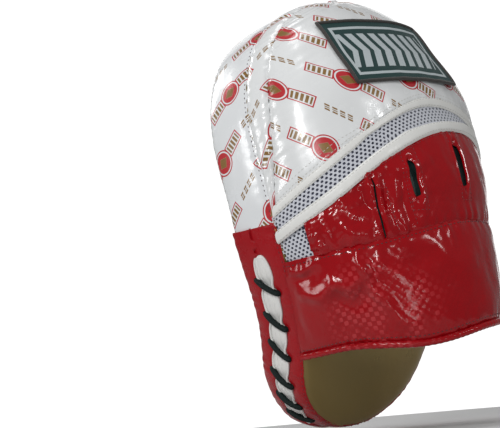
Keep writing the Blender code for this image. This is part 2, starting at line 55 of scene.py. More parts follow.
# --- Shape of the mitt -------------------------------------------------------------------------------------------


def smooth(value: Array | float) -> Array:
    """A ramp from 0 to 1 with level ends."""
    value = np.clip(value, 0, 1)
    return value * value * (3 - 2 * value)


def through(points: Curve, at: Array | float) -> Array:
    """A smooth curve through points.

    Args:
        points: Pairs of place and value, in order of place.
        at: Places to read it at.

    Returns:
        The values there.
    """
    places, values = np.array(points, float).T
    slopes = np.gradient(values, places)
    at = np.clip(at, places[0], places[-1])
    i = np.clip(np.searchsorted(places, at) - 1, 0, len(places) - 2)
    step = places[i + 1] - places[i]
    u = (at - places[i]) / step
    start = (1 + 2 * u) * (1 - u) ** 2 * values[i] + u * (1 - u) ** 2 * step * slopes[i]
    end = u * u * (3 - 2 * u) * values[i + 1] + u * u * (u - 1) * step * slopes[i + 1]
    return start + end


@dataclass(frozen=True)
class MittForm:
    """The pad's outline and bend, and the arch over the hand, in millimetres.

    A place on the pad has x across it towards the thumb, height from heel to fingertips, and depth from the
    striking face. On the arch it has an angle from the thumb's seam at 0 to the little finger's at 180, and a height.
    """

    tall: float = 266.0
    half_wide: float = 92.0
    deep: float = 39.0
    heel: float = 46.0
    slope_low: float = 0.43
    slope_high: float = 0.243
    bend_start: float = 46.0
    bend_end: float = 155.0
    heel_lift: float = 8.4
    heel_lift_end: float = 33.0
    strip_start: float = 126.0
    arch_crown: Curve = (
        (40, 112), (55, 105), (80, 94), (105, 83), (130, 74), (160, 60),
        (190, 52), (215, 41), (235, 33), (250, 23), (260, 13), (266, 0),
    )
    strip_width: Curve = ((126, 0), (140, 4), (160, 10), (190, 15), (215, 15.5), (240, 16), (266, 17))

    def half_width(self, height: Array) -> Array:
        """Half the pad's width at a height.

        Args:
            height: Heights on the mitt.

        Returns:
            Half widths.
        """
        height = np.asarray(height, float)
        heel = np.clip((self.heel - height) / self.heel, 0, 1)
        tapered = (42 + 0.35 * height) * (1 - heel**2) ** (1 / 2.2)
        crown = np.clip((height - 175) / (self.tall - 175), 0, 1)
        crowned = self.half_wide * (1 - crown**2) ** (1 / 2.3)
        u = np.clip((height - 105) / 70, 0, 1)
        low = 42 + 0.35 * 105
        middle = low + (self.half_wide - low) * smooth(u) + 0.35 * 70 * u * (1 - u) ** 2
        return np.where(height < 105, tapered, np.where(height > 175, crowned, middle))

    def centre(self, height: Array) -> Array:
        """Middle of the pad at a height, which swells towards the thumb."""
        return 5.8 * np.exp(-(((np.asarray(height, float) - 112) / 38) ** 2))

    def slope(self, height: Array) -> Array:
        """Lean of the face at a height."""
        u = np.clip((np.asarray(height, float) - self.bend_start) / (self.bend_end - self.bend_start), 0, 1)
        return -self.slope_low + (self.slope_low + self.slope_high) * u

    @property
    def palm(self) -> float:
        """Height of the face's deepest line, level with the palm."""
        span = self.bend_end - self.bend_start
        return self.bend_start + span * self.slope_low / (self.slope_low + self.slope_high)

    def forward(self, height: Array) -> Array:
        """How far the face is in front of its deepest line.

        Args:
            height: Heights on the mitt.

        Returns:
            Distances in millimetres.
        """
        height = np.asarray(height, float)
        rate = (self.slope_low + self.slope_high) / (self.bend_end - self.bend_start)
        out = 0.5 * rate * (np.clip(height, self.bend_start, self.bend_end) - self.palm) ** 2
        out = out + np.where(height < self.bend_start, self.slope_low * (self.bend_start - height), 0)
        return out + np.where(height > self.bend_end, self.slope_high * (height - self.bend_end), 0)

    def bend(self, x: Array, height: Array, depth: Array) -> Array:
        """World point of a place on the flat pad."""
        x, height, depth = np.broadcast_arrays(x, height, depth)
        lean = np.arctan(self.slope(height))
        y = -self.deep - self.forward(height) + depth * np.cos(lean)
        return np.stack([x, y, height - self.palm + depth * np.sin(lean)], -1)

    def rim(self, turn: Array, inset: Array | float = 0.0) -> tuple[Array, Array]:
        """x and height on the outline: turn is 0 at the heel, 1 at the crown by the thumb, -1 by the other side.

        Args:
            turn: Turns round the outline.
            inset: How far inside the outline.

        Returns:
            x and height.
        """
        turn = np.asarray(turn, float)

        def edge(at: Array) -> tuple[Array, Array]:
            """A place on the outline."""
            at = (at + 1) % 2 - 1
            height = self.tall / 2 * (1 - np.cos(np.pi * at))
            return self.centre(height) + np.sign(at) * self.half_width(height), height

        x, height = edge(turn)
        ahead, behind = edge(turn + 1e-3), edge(turn - 1e-3)
        along = np.stack([ahead[0] - behind[0], ahead[1] - behind[1]], -1)
        along /= np.maximum(np.linalg.norm(along, axis=-1, keepdims=True), 1e-12)
        return x - along[..., 1] * inset, height + along[..., 0] * inset

    def lift(self, height: Array, depth: Array) -> Array:
        """How far the heel's back edge stands above its face edge."""
        low = np.clip((self.heel_lift_end - height) / self.heel_lift_end, 0, 1)
        return self.heel_lift * low**1.5 * depth / self.deep

    def wall(self, turn: Array, depth: Array, inset: Array | float = 0.0) -> Array:
        """Point on the pad's side wall, drawn in by an inset."""
        turn, depth = np.broadcast_arrays(np.asarray(turn, float), np.asarray(depth, float))
        x, height = self.rim(turn, inset)
        return self.bend(x, height + self.lift(height, depth), depth)

    def turn_at(self, height: float) -> float:
        """The wall's turn at a height on the thumb's side."""
        return math.acos(1 - 2 * height / self.tall) / math.pi

    def strip(self, height: Array) -> Array:
        """Width of the hood's side strip at a height."""
        return np.where(height > self.strip_start, through(self.strip_width, height), 0)

    def crown(self, height: Array) -> Array:
        """How far the arch's crest stands above its seams at a height."""
        rise = [(-math.sqrt(self.tall + 1 - place), value) for place, value in self.arch_crown]
        return through(rise, -np.sqrt(np.clip(self.tall + 1 - height, 0, None)))

    def arch(self, angle: Array, height: Array) -> Array:
        """Point on the outside of the arch over the hand.

        Args:
            angle: Angles on the arch.
            height: Heights on the mitt.

        Returns:
            Points in millimetres.
        """
        angle, height = np.broadcast_arrays(np.asarray(angle, float), np.asarray(height, float))
        strip = self.strip(height)
        across, up = np.cos(np.radians(angle)), np.sin(np.radians(angle))
        width = self.half_width(height) - 4 * strip / 17
        x = self.centre(height) + width * across - 5 * up**2 * np.clip((200 - height) / 80, 0, 1)
        return self.bend(x, height, self.deep + strip + self.crown(height) * up)

    def level_map(self, angle: Array, height: Array) -> Array:
        """Millimetres round the arch from its crest along a level line, and up it from below the hood.

        Args:
            angle: Angles on the arch.
            height: Heights on the mitt.

        Returns:
            Pairs of millimetres.
        """
        share = np.linspace(0, 1, 25)[:, None, None]
        across = self.arch(90 + (angle - 90) * share, height + 0 * share)
        up = self.arch(angle + 0 * share, 120 + (height - 120) * share)
        level, rise = (np.linalg.norm(np.diff(line, axis=0), axis=-1).sum(0) for line in (across, up))
        return np.stack([np.sign(angle - 90) * level, rise], -1)


FORM = MittForm()
ARC = 1.35  # About how many millimetres of the cover a degree of angle is.
LABEL_SIZE = (92.0, 52.0)
INSIDE = (0, -18.0, 20.0)  # A place inside the mitt, which its outer faces look away from.

HOOD_EDGE: Curve = ((0, 134), (45, 154), (92, 178), (125, 172), (180, 140))
MESH_TOP: Curve = ((0, 129), (45, 150.2), (92, 172.5), (110, 170), (124, 164.5), (136, 159.5), (180, 130.5))
MESH_BOTTOM: Curve = (
    (0, 121), (30, 134.5), (60, 149.3), (95, 161.3), (110, 163), (124, 163.2), (136, 159), (180, 130),
)
COVER_TOP: Curve = ((0, 115.5), (30, 129), (60, 144.5), (95, 155), (125, 153.5), (180, 121))
CUFF_TOP: Curve = ((0, 105), (45, 112), (90, 119), (130, 118), (180, 106))
HEM: Curve = ((0, 57), (18, 67), (60, 76), (95, 82), (140, 79), (160, 74), (180, 66))


# --- Finishes ----------------------------------------------------------------------------------------------------


class Wire:
    """A number on its way through a material, with Python's arithmetic."""

    def __init__(self, tree: "Dye", socket: Any) -> None:
        """Keeps the material being made and the socket that the number comes out of."""
        self.tree, self.socket = tree, socket

    def math(self, operation: str, *others: "Wire | float") -> "Wire":
        """One Math node on this number and up to two others."""
        inputs = dict(enumerate((self, *others)))
        return Wire(self.tree, self.tree.node("ShaderNodeMath", {"operation": operation}, inputs).outputs[0])

    def __add__(self, other: "Wire | float") -> "Wire":
        """Sum."""
        return self.math("ADD", other)

    def __sub__(self, other: "Wire | float") -> "Wire":
        """Difference."""
        return self.math("SUBTRACT", other)

    def __rsub__(self, other: float) -> "Wire":
        """Difference from a plain number."""
        return (self * -1) + other

    def __mul__(self, other: "Wire | float") -> "Wire":
        """Product."""
        return self.math("MULTIPLY", other)

    def __truediv__(self, other: "Wire | float") -> "Wire":
        """Quotient."""
        return self.math("DIVIDE", other)

    __radd__, __rmul__ = __add__, __mul__

    def under(self, edge: float, soft: float = 0.0) -> "Wire":
        """1 where the number is below an edge and 0 above it, over a soft width.

        Args:
            edge: Where the mask ends.
            soft: Width of its ramp.

        Returns:
            The mask.
        """
        if not soft:
            return self.math("LESS_THAN", edge)
        settings = {"interpolation_type": "SMOOTHSTEP"}
        inputs = {"Value": self, "From Min": edge - soft, "From Max": edge + soft, "To Min": 1.0, "To Max": 0.0}
        return Wire(self.tree, self.tree.node("ShaderNodeMapRange", settings, inputs).outputs[0])

    def wrapped(self, size: float) -> "Wire":
        """The number as a distance from the middle of its repeat."""
        return ((self / size).math("FRACT") - 0.5) * size

    def stripes(self, pitch: float) -> "Wire":
        """Distance from the middle of each repeat, from 0 to 0.5 of its pitch."""
        return (self / pitch).wrapped(1.0).math("ABSOLUTE")


class Dye:
    """One node material while it is being made."""

    def __init__(self, name: str) -> None:
        """Starts a Principled material."""
        self.material = bpy.data.materials.new(name)
        self.material.use_nodes = True
        self.nodes = self.material.node_tree.nodes
        self.shader = self.nodes["Principled BSDF"]

    def node(self, kind: str, settings: dict[str, Any], inputs: dict[Any, Any]) -> Any:
        """Adds a node.

        Args:
            kind: The node's type.
            settings: Its properties, set before its inputs.
            inputs: Values, or the sockets or wires to link, by input name or number.

        Returns:
            The node.
        """
        made = self.nodes.new(kind)
        for key, value in settings.items():
            setattr(made, key, value)
        for key, value in inputs.items():
            self.feed(made.inputs[key], value)
        return made

    def feed(self, target: Any, value: Any) -> None:
        """Links or sets an input.

        Args:
            target: The input.
            value: A number, colour, socket or wire.
        """
        if isinstance(value, Wire):
            value = value.socket
        if isinstance(value, bpy.types.NodeSocket):
            self.material.node_tree.links.new(value, target)
        elif isinstance(value, tuple) and target.type == "RGBA" and len(value) == 3:
            target.default_value = (*value, 1)
        else:
            target.default_value = value

    def place(self) -> Any:
        """The socket of object coordinates, in metres."""
        return self.node("ShaderNodeTexCoord", {}, {}).outputs["Object"]

    def flat(self) -> tuple[Wire, Wire]:
        """Millimetres along and up the cut panel, from its own map."""
        own = self.node("ShaderNodeUVMap", {"uv_map": "cut"}, {}).outputs[0]
        split = self.node("ShaderNodeSeparateXYZ", {}, {0: own})
        return Wire(self, split.outputs[0]) * 1000, Wire(self, split.outputs[1]) * 1000

    def noise(self, scale: float, detail: float = 2.0, rough: float = 0.5) -> Wire:
        """Soft noise, with about scale waves in a metre."""
        inputs = {"Vector": self.place(), "Scale": scale, "Detail": detail, "Roughness": rough}
        return Wire(self, self.node("ShaderNodeTexNoise", {}, inputs).outputs[0])

    def cells(self, scale: float) -> Wire:
        """Distance to the edge of irregular cells, as in leather grain."""
        inputs = {"Vector": self.place(), "Scale": scale}
        node = self.node("ShaderNodeTexVoronoi", {"feature": "DISTANCE_TO_EDGE"}, inputs)
        return Wire(self, node.outputs["Distance"])

    def blend(self, mask: Wire | float, first: Any, second: Any) -> Any:
        """Colour socket that goes from first to second with the mask."""
        node = self.node("ShaderNodeMix", {"data_type": "RGBA"}, {})
        for key, value in {0: mask, 6: first, 7: second}.items():
            self.feed(node.inputs[key], value)
        return node.outputs[2]

    def relief(self, height: Wire, depth: float, strength: float = 1.0) -> None:
        """Gives the surface a relief: height from 0 to 1 stands for a depth in millimetres."""
        inputs = {"Height": height, "Distance": depth * MM, "Strength": strength}
        self.feed(self.shader.inputs["Normal"], self.node("ShaderNodeBump", {}, inputs).outputs[0])

    def finish(self, **inputs: Any) -> Material:
        """Sets the shader's inputs, by name with underscores for spaces, and gives the material back."""
        for key, value in inputs.items():
            self.feed(self.shader.inputs[key.replace("_", " ")], value)
        return self.material


@dataclass(frozen=True)
class SmoothLeather:
    """Coated leather with a fine grain."""

    name: str
    colour: tuple[float, float, float]
    roughness: float = 0.32
    coat: float = 0.25
    grain: float = 0.03
    shade: float = 0.06
    shine: float = 0.5

    def dye(self) -> Material:
        """Makes the material."""
        dye = Dye(self.name)
        cloud = dye.noise(38, 3)
        darker = tuple(c * (1 - self.shade) for c in self.colour)
        pores = dye.cells(1100).under(0.09, 0.08)
        dye.relief(1 - pores * 0.6 + dye.noise(260, 3) * 0.8, self.grain)
        rough = dye.noise(90, 2) * 0.14 + (self.roughness - 0.07)
        return dye.finish(
            Base_Color=dye.blend(cloud, darker, self.colour), Roughness=rough, Coat_Weight=self.coat,
            Coat_Roughness=0.12, Specular_IOR_Level=self.shine,
        )


@dataclass(frozen=True)
class PrintedLeather:
    """White leather printed with slanting rows of plain badges and dashes."""

    name: str
    colour: tuple[float, float, float]
    tilt: float
    start: tuple[float, float]
    red: tuple[float, float, float] = (0.50, 0.022, 0.03)
    gold: tuple[float, float, float] = (0.25, 0.135, 0.035)
    pitch: tuple[float, float] = (76.0, 27.0)
    roughness: float = 0.26

    def badges(self, dye: Dye) -> tuple[Wire, Wire]:
        """Masks of the red and the gold ink.

        Args:
            dye: The material.

        Returns:
            The two masks.
        """
        along, up = dye.flat()
        along, up = along - self.start[0], up - self.start[1]
        cos, sin = math.cos(math.radians(self.tilt)), math.sin(math.radians(self.tilt))
        p, q = along * cos + up * sin, up * cos - along * sin
        long, high = self.pitch
        row = (q / high + 0.5).math("FLOOR")
        p = p + (row / 2).math("FRACT") * long
        x, y = (p + long / 2).wrapped(long), (q + high / 2).wrapped(high)
        ax, ay = x.math("ABSOLUTE"), y.math("ABSOLUTE")
        far = (x * x + y * y).math("SQRT")
        disc = far.under(6.9, 0.12)
        ring = (far - 8.3).math("ABSOLUTE").under(0.45, 0.1)
        box = (ax - 15.8).math("ABSOLUTE").math("MAXIMUM", ay + 3.4) - 7.9
        frame_line = (box + 0.5).math("ABSOLUTE").under(0.4, 0.1) * (1 - far.under(8.6))
        emblem = (ax * 0.8 + ay).under(3.9, 0.15)
        stripes = ax.stripes(2.9).under(0.31, 0.04)
        bars = box.under(-1.7, 0.1) * stripes * (1 - far.under(9.6))
        wx = p.wrapped(long) + y * 0.35
        word = wx.math("ABSOLUTE").under(9.7) * ay.under(2.0, 0.12)
        strokes = word * wx.stripes(4.9).under(0.33, 0.03)
        dashes = strokes * (1 - (ay - 0.6).math("ABSOLUTE").under(0.3))
        red = (disc * (1 - emblem)).math("MAXIMUM", ring).math("MAXIMUM", frame_line)
        return red, (disc * emblem).math("MAXIMUM", bars).math("MAXIMUM", dashes)

    def dye(self) -> Material:
        """Makes the material."""
        dye = Dye(self.name)
        red, gold = self.badges(dye)
        cloud = dye.noise(30, 3)
        white = dye.blend(cloud, tuple(c * 0.95 for c in self.colour), self.colour)
        inked = dye.blend(gold, dye.blend(red, white, self.red), self.gold)
        dye.relief(dye.noise(240, 3) * 0.7 + dye.cells(1200) * 0.8, 0.03)
        rough = dye.noise(80, 2) * 0.12 + (self.roughness - 0.06)
        return dye.finish(Base_Color=inked, Roughness=rough, Coat_Weight=0.4, Coat_Roughness=0.1)


@dataclass(frozen=True)
class PatentLeather:
    """Glossy crinkled leather embossed with a check, whose high squares are painted paler round one spot of the cuff
    as a painted sheen.
    """

    name: str
    colour: tuple[float, float, float]
    check: float = 6.2
    tilt: float = 4.0
    emboss: float = 0.22
    # Middle of the painted sheen on the check, in metres.
    sheen_spot: tuple[float, float, float] = (0.0575, 0.055, -0.051)
    orange_peel: float = 0.3
    roughness: float = 0.17

    def dye(self) -> Material:
        """Makes the material."""
        dye = Dye(self.name)
        along, up = dye.flat()
        cos, sin = math.cos(math.radians(self.tilt)), math.sin(math.radians(self.tilt))
        p, q = along * cos + up * sin, up * cos - along * sin
        turn = 2 * math.pi / self.check
        check = (p * turn).math("SINE") * (q * turn).math("SINE") * 0.5 + 0.5
        spot = dye.node("ShaderNodeVectorMath", {"operation": "DISTANCE"}, {0: dye.place(), 1: self.sheen_spot})
        patches = (Wire(dye, spot.outputs["Value"]) * 25 + dye.noise(60, 2) * 0.8).under(1.3, 0.2)
        # Painted sheen: round that spot the check's high squares are painted paler, standing in for the sheen off
        # their facets.
        painted_sheen_squares = (1 - check.under(0.55, 0.07)) * patches * (1 - dye.noise(90, 2).under(0.48, 0.1))
        patches = patches.math("MAXIMUM", dye.noise(26, 2).under(0.46, 0.08) * 0.45)
        crinkle = dye.noise(170, 1) * self.orange_peel + dye.noise(70, 1) * 0.7 + dye.noise(600, 1) * 0.012
        dye.relief(check * patches * self.emboss + crinkle, 1.0)
        cloud = dye.noise(24, 3)
        deep = tuple(c * 0.72 for c in self.colour)
        rough = dye.noise(140, 3) * 0.1 + (self.roughness - 0.05)
        # Paler red of the painted sheen.
        pale = (self.colour[0] * 1.5, self.colour[1] + 0.05, self.colour[2] + 0.055)
        return dye.finish(
            Base_Color=dye.blend(painted_sheen_squares * 0.5, dye.blend(cloud, deep, self.colour), pale), Roughness=rough,
            Specular_IOR_Level=0.22, Coat_Weight=0.28, Coat_Roughness=0.06,
        )


@dataclass(frozen=True)
class BronzeLeather:
    """Olive leather with a faint metallic sheen and a low chevron weave."""

    name: str
    colour: tuple[float, float, float]
    roughness: float = 0.36

    def dye(self) -> Material:
        """Makes the material."""
        dye = Dye(self.name)
        along, up = dye.flat()
        chevron = (up + along.wrapped(6.0).math("ABSOLUTE")).stripes(2.4)
        patches = dye.noise(22, 2).under(0.52, 0.12)
        dye.relief(chevron * patches * 0.9 + dye.noise(150, 2) * 2.5, 0.05)
        cloud = dye.noise(14, 3)
        brown = (self.colour[0] * 1.25, self.colour[1] * 1.12, self.colour[2] * 0.9)
        rough = dye.noise(60, 3) * 0.14 + (self.roughness - 0.07)
        return dye.finish(
            Base_Color=dye.blend(cloud, self.colour, brown), Roughness=rough, Metallic=0.65, Coat_Weight=0.1,
            Coat_Roughness=0.25,
        )


@dataclass(frozen=True)
class Woven:
    """Plain woven or knitted cloth, netting or tape, by the size of its threads in millimetres."""

    name: str
    colour: tuple[float, float, float]
    thread: float = 0.5
    roughness: float = 0.85
    contrast: float = 0.35
    relief: float = 0.08

    def dye(self) -> Material:
        """Makes the material."""
        dye = Dye(self.name)
        split = dye.node("ShaderNodeSeparateXYZ", {}, {0: dye.place()})
        size = self.thread * MM
        x, y, z = (Wire(dye, split.outputs[i]).wrapped(size) / size for i in range(3))
        over = x * x + y * y + z * z
        dark = tuple(c * (1 - self.contrast) for c in self.colour)
        dye.relief(1 - over + dye.noise(900, 2) * 0.5, self.relief)
        rough = dye.noise(300, 2) * 0.1 + (self.roughness - 0.05)
        return dye.finish(Base_Color=dye.blend(over * 1.6, self.colour, dark), Roughness=rough, Sheen_Weight=0.2)


@dataclass(frozen=True)
class Braid:
    """Braided cord: strands cross on its own map, along it and round it."""

    name: str
    colour: tuple[float, float, float]
    strand: float = 1.5

    def dye(self) -> Material:
        """Makes the material."""
        dye = Dye(self.name)
        along, around = dye.flat()
        left = (along + around).stripes(self.strand)
        right = (along - around).stripes(self.strand)
        height = left.math("MAXIMUM", right)
        dye.relief(1 - height * 1.6 + dye.noise(1200, 2) * 0.3, 0.25)
        colour = dye.blend(height * 1.8, self.colour, tuple(c * 0.4 for c in self.colour))
        return dye.finish(Base_Color=colour, Roughness=dye.noise(400, 2) * 0.15 + 0.5, Specular_IOR_Level=0.25)


@dataclass(frozen=True)
class WovenLabel:
    """Dark woven label with a pale inner line and a row of plain slanting bars."""

    name: str
    field_colour: tuple[float, float, float]
    silver: tuple[float, float, float]
    size: tuple[float, float]

    def dye(self) -> Material:
        """Makes the material."""
        dye = Dye(self.name)
        along, up = dye.flat()
        ax, ay = along.math("ABSOLUTE"), up.math("ABSOLUTE")
        edge = (ax - self.size[0] / 2).math("MAXIMUM", ay - self.size[1] / 2)
        line = (edge + 5.6).math("ABSOLUTE").under(1.1, 0.15)
        slanted = along + ay * 0.42
        bars = slanted.stripes(9.4).under(0.31, 0.015)
        inside = (slanted - 3.2).math("ABSOLUTE").under(37.5) * ay.under(15.2, 0.2)
        silver = line.math("MAXIMUM", bars * inside)
        ribs = up.stripes(0.62)
        threads = along.stripes(0.5)
        dye.relief(silver * 1.2 + ribs * threads * 1.4, 0.25)
        colour = dye.blend(silver, self.field_colour, self.silver)
        colour = dye.blend(ribs * threads * 1.6, colour, tuple(c * 0.4 for c in self.field_colour))
        return dye.finish(Base_Color=colour, Roughness=0.7, Sheen_Weight=0.1, Specular_IOR_Level=0.3)


@dataclass(frozen=True)
class FaceLeather:
    """White striking leather with a plain target badge printed at its middle."""

    name: str
    colour: tuple[float, float, float]
    brown: tuple[float, float, float]
    maroon: tuple[float, float, float]

    def dye(self) -> Material:
        """Makes the material."""
        dye = Dye(self.name)
        along, up = dye.flat()
        ax, ay = along.math("ABSOLUTE"), up.math("ABSOLUTE")
        oval = ((along / 15) * (along / 15) + (up / 19) * (up / 19)).math("SQRT")
        core = (along * along + up * up).math("SQRT")
        rings = ((core - 7.0).math("ABSOLUTE").under(1.4, 0.15)).math("MAXIMUM", core.under(2.4, 0.15))
        box = (ax - 31).math("ABSOLUTE").math("MAXIMUM", ay + 4.5) - 17.5
        lines = (box + 1.0).math("ABSOLUTE").under(0.75, 0.12) * (1 - oval.under(1.2))
        bars = ax.stripes(6.2).under(0.3, 0.03) * box.under(-3.4, 0.15) * (1 - oval.under(1.28))
        ring = ((oval - 1.16) * 15).math("ABSOLUTE").under(0.9, 0.12)
        brown = lines.math("MAXIMUM", bars).math("MAXIMUM", ring)
        maroon = oval.under(1.0, 0.01) * (1 - rings)
        cloud = dye.noise(20, 3)
        white = dye.blend(cloud, tuple(c * 0.95 for c in self.colour), self.colour)
        colour = dye.blend(maroon, dye.blend(brown, white, self.brown), self.maroon)
        pores = dye.cells(700).under(0.1, 0.1)
        dye.relief(1 - pores * 0.5 + dye.noise(160, 4) * 1.2, 0.05)
        return dye.finish(Base_Color=colour, Roughness=dye.noise(70, 3) * 0.16 + 0.34, Coat_Weight=0.12)


class Finish(Enum):
    """The finishes of the mitt, by what they are on."""

    FACE = FaceLeather("face_leather", (0.76, 0.745, 0.71), (0.20, 0.11, 0.07), (0.19, 0.012, 0.022))
    HOOD = PrintedLeather("printed_hood", (0.80, 0.815, 0.82), -33, (-53.6, 96.8))
    SIDE = PrintedLeather("printed_side", (0.79, 0.81, 0.825), 54, (-109, 23))
    STRIP = PrintedLeather("printed_strip", (0.80, 0.815, 0.82), 50, (-153, 21))
    WHITE = SmoothLeather("white_binding", (0.79, 0.79, 0.765), 0.42, 0.1, 0.04)
    RED = SmoothLeather("red_side_leather", (0.37, 0.003, 0.008), 0.28, 0.05, 0.05, 0.15, 0.28)
    PATENT = PatentLeather("crinkled_patent", (0.37, 0.002, 0.006))
    BRONZE = BronzeLeather("bronzed_leather", (0.27, 0.205, 0.08), 0.3)
    NETTING = Woven("vent_netting", (0.62, 0.64, 0.70), 0.45, 0.6, 0.2, 0.05)
    BACKING = Woven("netting_backing", (0.20, 0.21, 0.30), 0.6, 0.9)
    LINING = Woven("green_lining", (0.006, 0.03, 0.027), 0.7, 0.55)
    LABEL = WovenLabel("woven_label", (0.008, 0.042, 0.040), (0.50, 0.56, 0.58), LABEL_SIZE)
    LABEL_EDGE = Woven("label_overlock", (0.040, 0.034, 0.030), 0.9, 0.7, 0.5, 0.3)
    LACE = Braid("lace_braid", (0.004, 0.016, 0.014))
    THREAD_DARK = Woven("dark_thread", (0.05, 0.01, 0.012), 0.3, 0.6)
    THREAD_WHITE = Woven("white_thread", (0.66, 0.66, 0.62), 0.3, 0.6)
    THREAD_RED = Woven("red_thread", (0.22, 0.004, 0.010), 0.3, 0.5)
    ELASTIC = Woven("elastic_web", (0.014, 0.014, 0.015), 1.1, 0.8, 0.5, 0.3)
    HOOKS = Woven("hook_tape", (0.010, 0.010, 0.011), 1.4, 0.55, 0.6, 0.5)
    LOOPS = Woven("loop_tape", (0.016, 0.016, 0.018), 0.6, 0.95, 0.4, 0.3)

    @property
    def material(self) -> Material:
        """The finish's material, made the first time it is asked for."""
        return bpy.data.materials.get(self.value.name) or self.value.dye()


# --- Cutting and sewing ------------------------------------------------------------------------------------------

Surface = Callable[[Array, Array], Array]


def lengths_along(points: Array) -> Array:
    """Length of a line of points up to each of them."""
    return np.concatenate([[0], np.cumsum(np.linalg.norm(np.diff(points, axis=0), axis=1))])


def stand(name: str, data: Any) -> Object:
    """Puts a new object into the scene."""
    obj = bpy.data.objects.new(name, data)
    bpy.context.scene.collection.objects.link(obj)
    return obj


def lay_map(mesh: Any, spots: Array) -> None:
    """Gives a mesh its own map, from a place in millimetres for each of its points.

    Args:
        mesh: The mesh.
        spots: Places in the map.
    """
    corners = np.empty(len(mesh.loops), int)
    mesh.loops.foreach_get("vertex_index", corners)
    while mesh.uv_layers:
        mesh.uv_layers.remove(mesh.uv_layers[0])
    mesh.uv_layers.new(name="cut").data.foreach_set("uv", (spots[corners] * MM).ravel())


def deselect() -> None:
    """Leaves nothing selected."""
    for other in bpy.context.selected_objects:
        other.select_set(False)


def only(obj: Object) -> None:
    """Makes one object the only one selected, and active."""
    deselect()
    obj.select_set(True)
    bpy.context.view_layer.objects.active = obj


def apply_modifier(obj: Object, kind: str, **settings: Any) -> None:
    """Adds a modifier with these settings and applies it.

    Args:
        obj: The piece.
        kind: The modifier's type.
    """
    only(obj)
    modifier = obj.modifiers.new(kind.title(), kind)
    for key, value in settings.items():
        setattr(modifier, key, value)
    bpy.ops.object.modifier_apply(modifier=modifier.name)


def dress(obj: Object, finish: Finish, body: str = "mitt", replaces: Sequence[str] = ()) -> Object:
    """Gives a piece its finish, its body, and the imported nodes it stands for.

    Args:
        obj: The piece.
        finish: What it is made of.
        body: The body it rides on.
        replaces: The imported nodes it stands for.

    Returns:
        The piece.
    """
    obj.data.materials.clear()
    obj.data.materials.append(finish.material)
    if replaces:
        obj.name = obj.data.name = f"{replaces[0]}_finished"
        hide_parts(*replaces)
    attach(obj, body)
    log.info("%s: %d faces", obj.name, len(obj.data.polygons))
    return obj


def outward(surface: Surface, u: Array, v: Array) -> Array:
    """Unit normals of a surface, away from the inside of the mitt.

    Args:
        surface: The surface.
        u: Places across the cut, from 0 to 1.
        v: Places up the cut, from 0 to 1.

    Returns:
        A unit vector for each place.
    """
    step = 2e-3
    low_u, high_u = np.clip(u - step, 0, 1), np.clip(u + step, 0, 1)
    low_v, high_v = np.clip(v - step, 0, 1), np.clip(v + step, 0, 1)
    normal = np.cross(surface(high_u, v) - surface(low_u, v), surface(u, high_v) - surface(u, low_v))
    size = np.linalg.norm(normal, axis=-1, keepdims=True)
    flat = size < 1e-7
    normal = np.where(flat, [0, 0.3, 1.0], normal / np.maximum(size, 1e-9))
    away = surface(u, v) - np.array(INSIDE)
    turned = np.sign(np.sum(normal * away)) or 1.0
    return normal * turned


def waves(points: Array, size: float, seed: int, octaves: int = 2) -> Array:
    """Soft noise from -1 to 1 at points, with waves of about a size in millimetres."""
    flat = points.reshape(-1, 3) / size + seed * 7.31
    values = [noise.fractal(Vector(p), 0.9, 2.1, octaves, noise_basis="PERLIN_ORIGINAL") for p in flat]
    return np.clip(np.array(values).reshape(points.shape[:-1]), -1, 1)


def puckers(seam: Array, along: Array, pitch: float, depth: float, reach: float) -> Array:
    """Gathers beside a seam: ridges across it that die away from it.

    Args:
        seam: Distance from the seam, in millimetres.
        along: Distance along the seam.
        pitch: Spacing of the ridges.
        depth: Height of the ridges at the seam.
        reach: How far they run.

    Returns:
        The height of the surface.
    """
    phase = along / pitch * 2 * np.pi
    ridges = np.sin(phase + 1.3 * np.sin(phase * 0.31)) * (0.65 + 0.35 * np.sin(phase * 0.173 + 1))
    return depth * ridges * np.exp(-((seam / reach) ** 1.5))


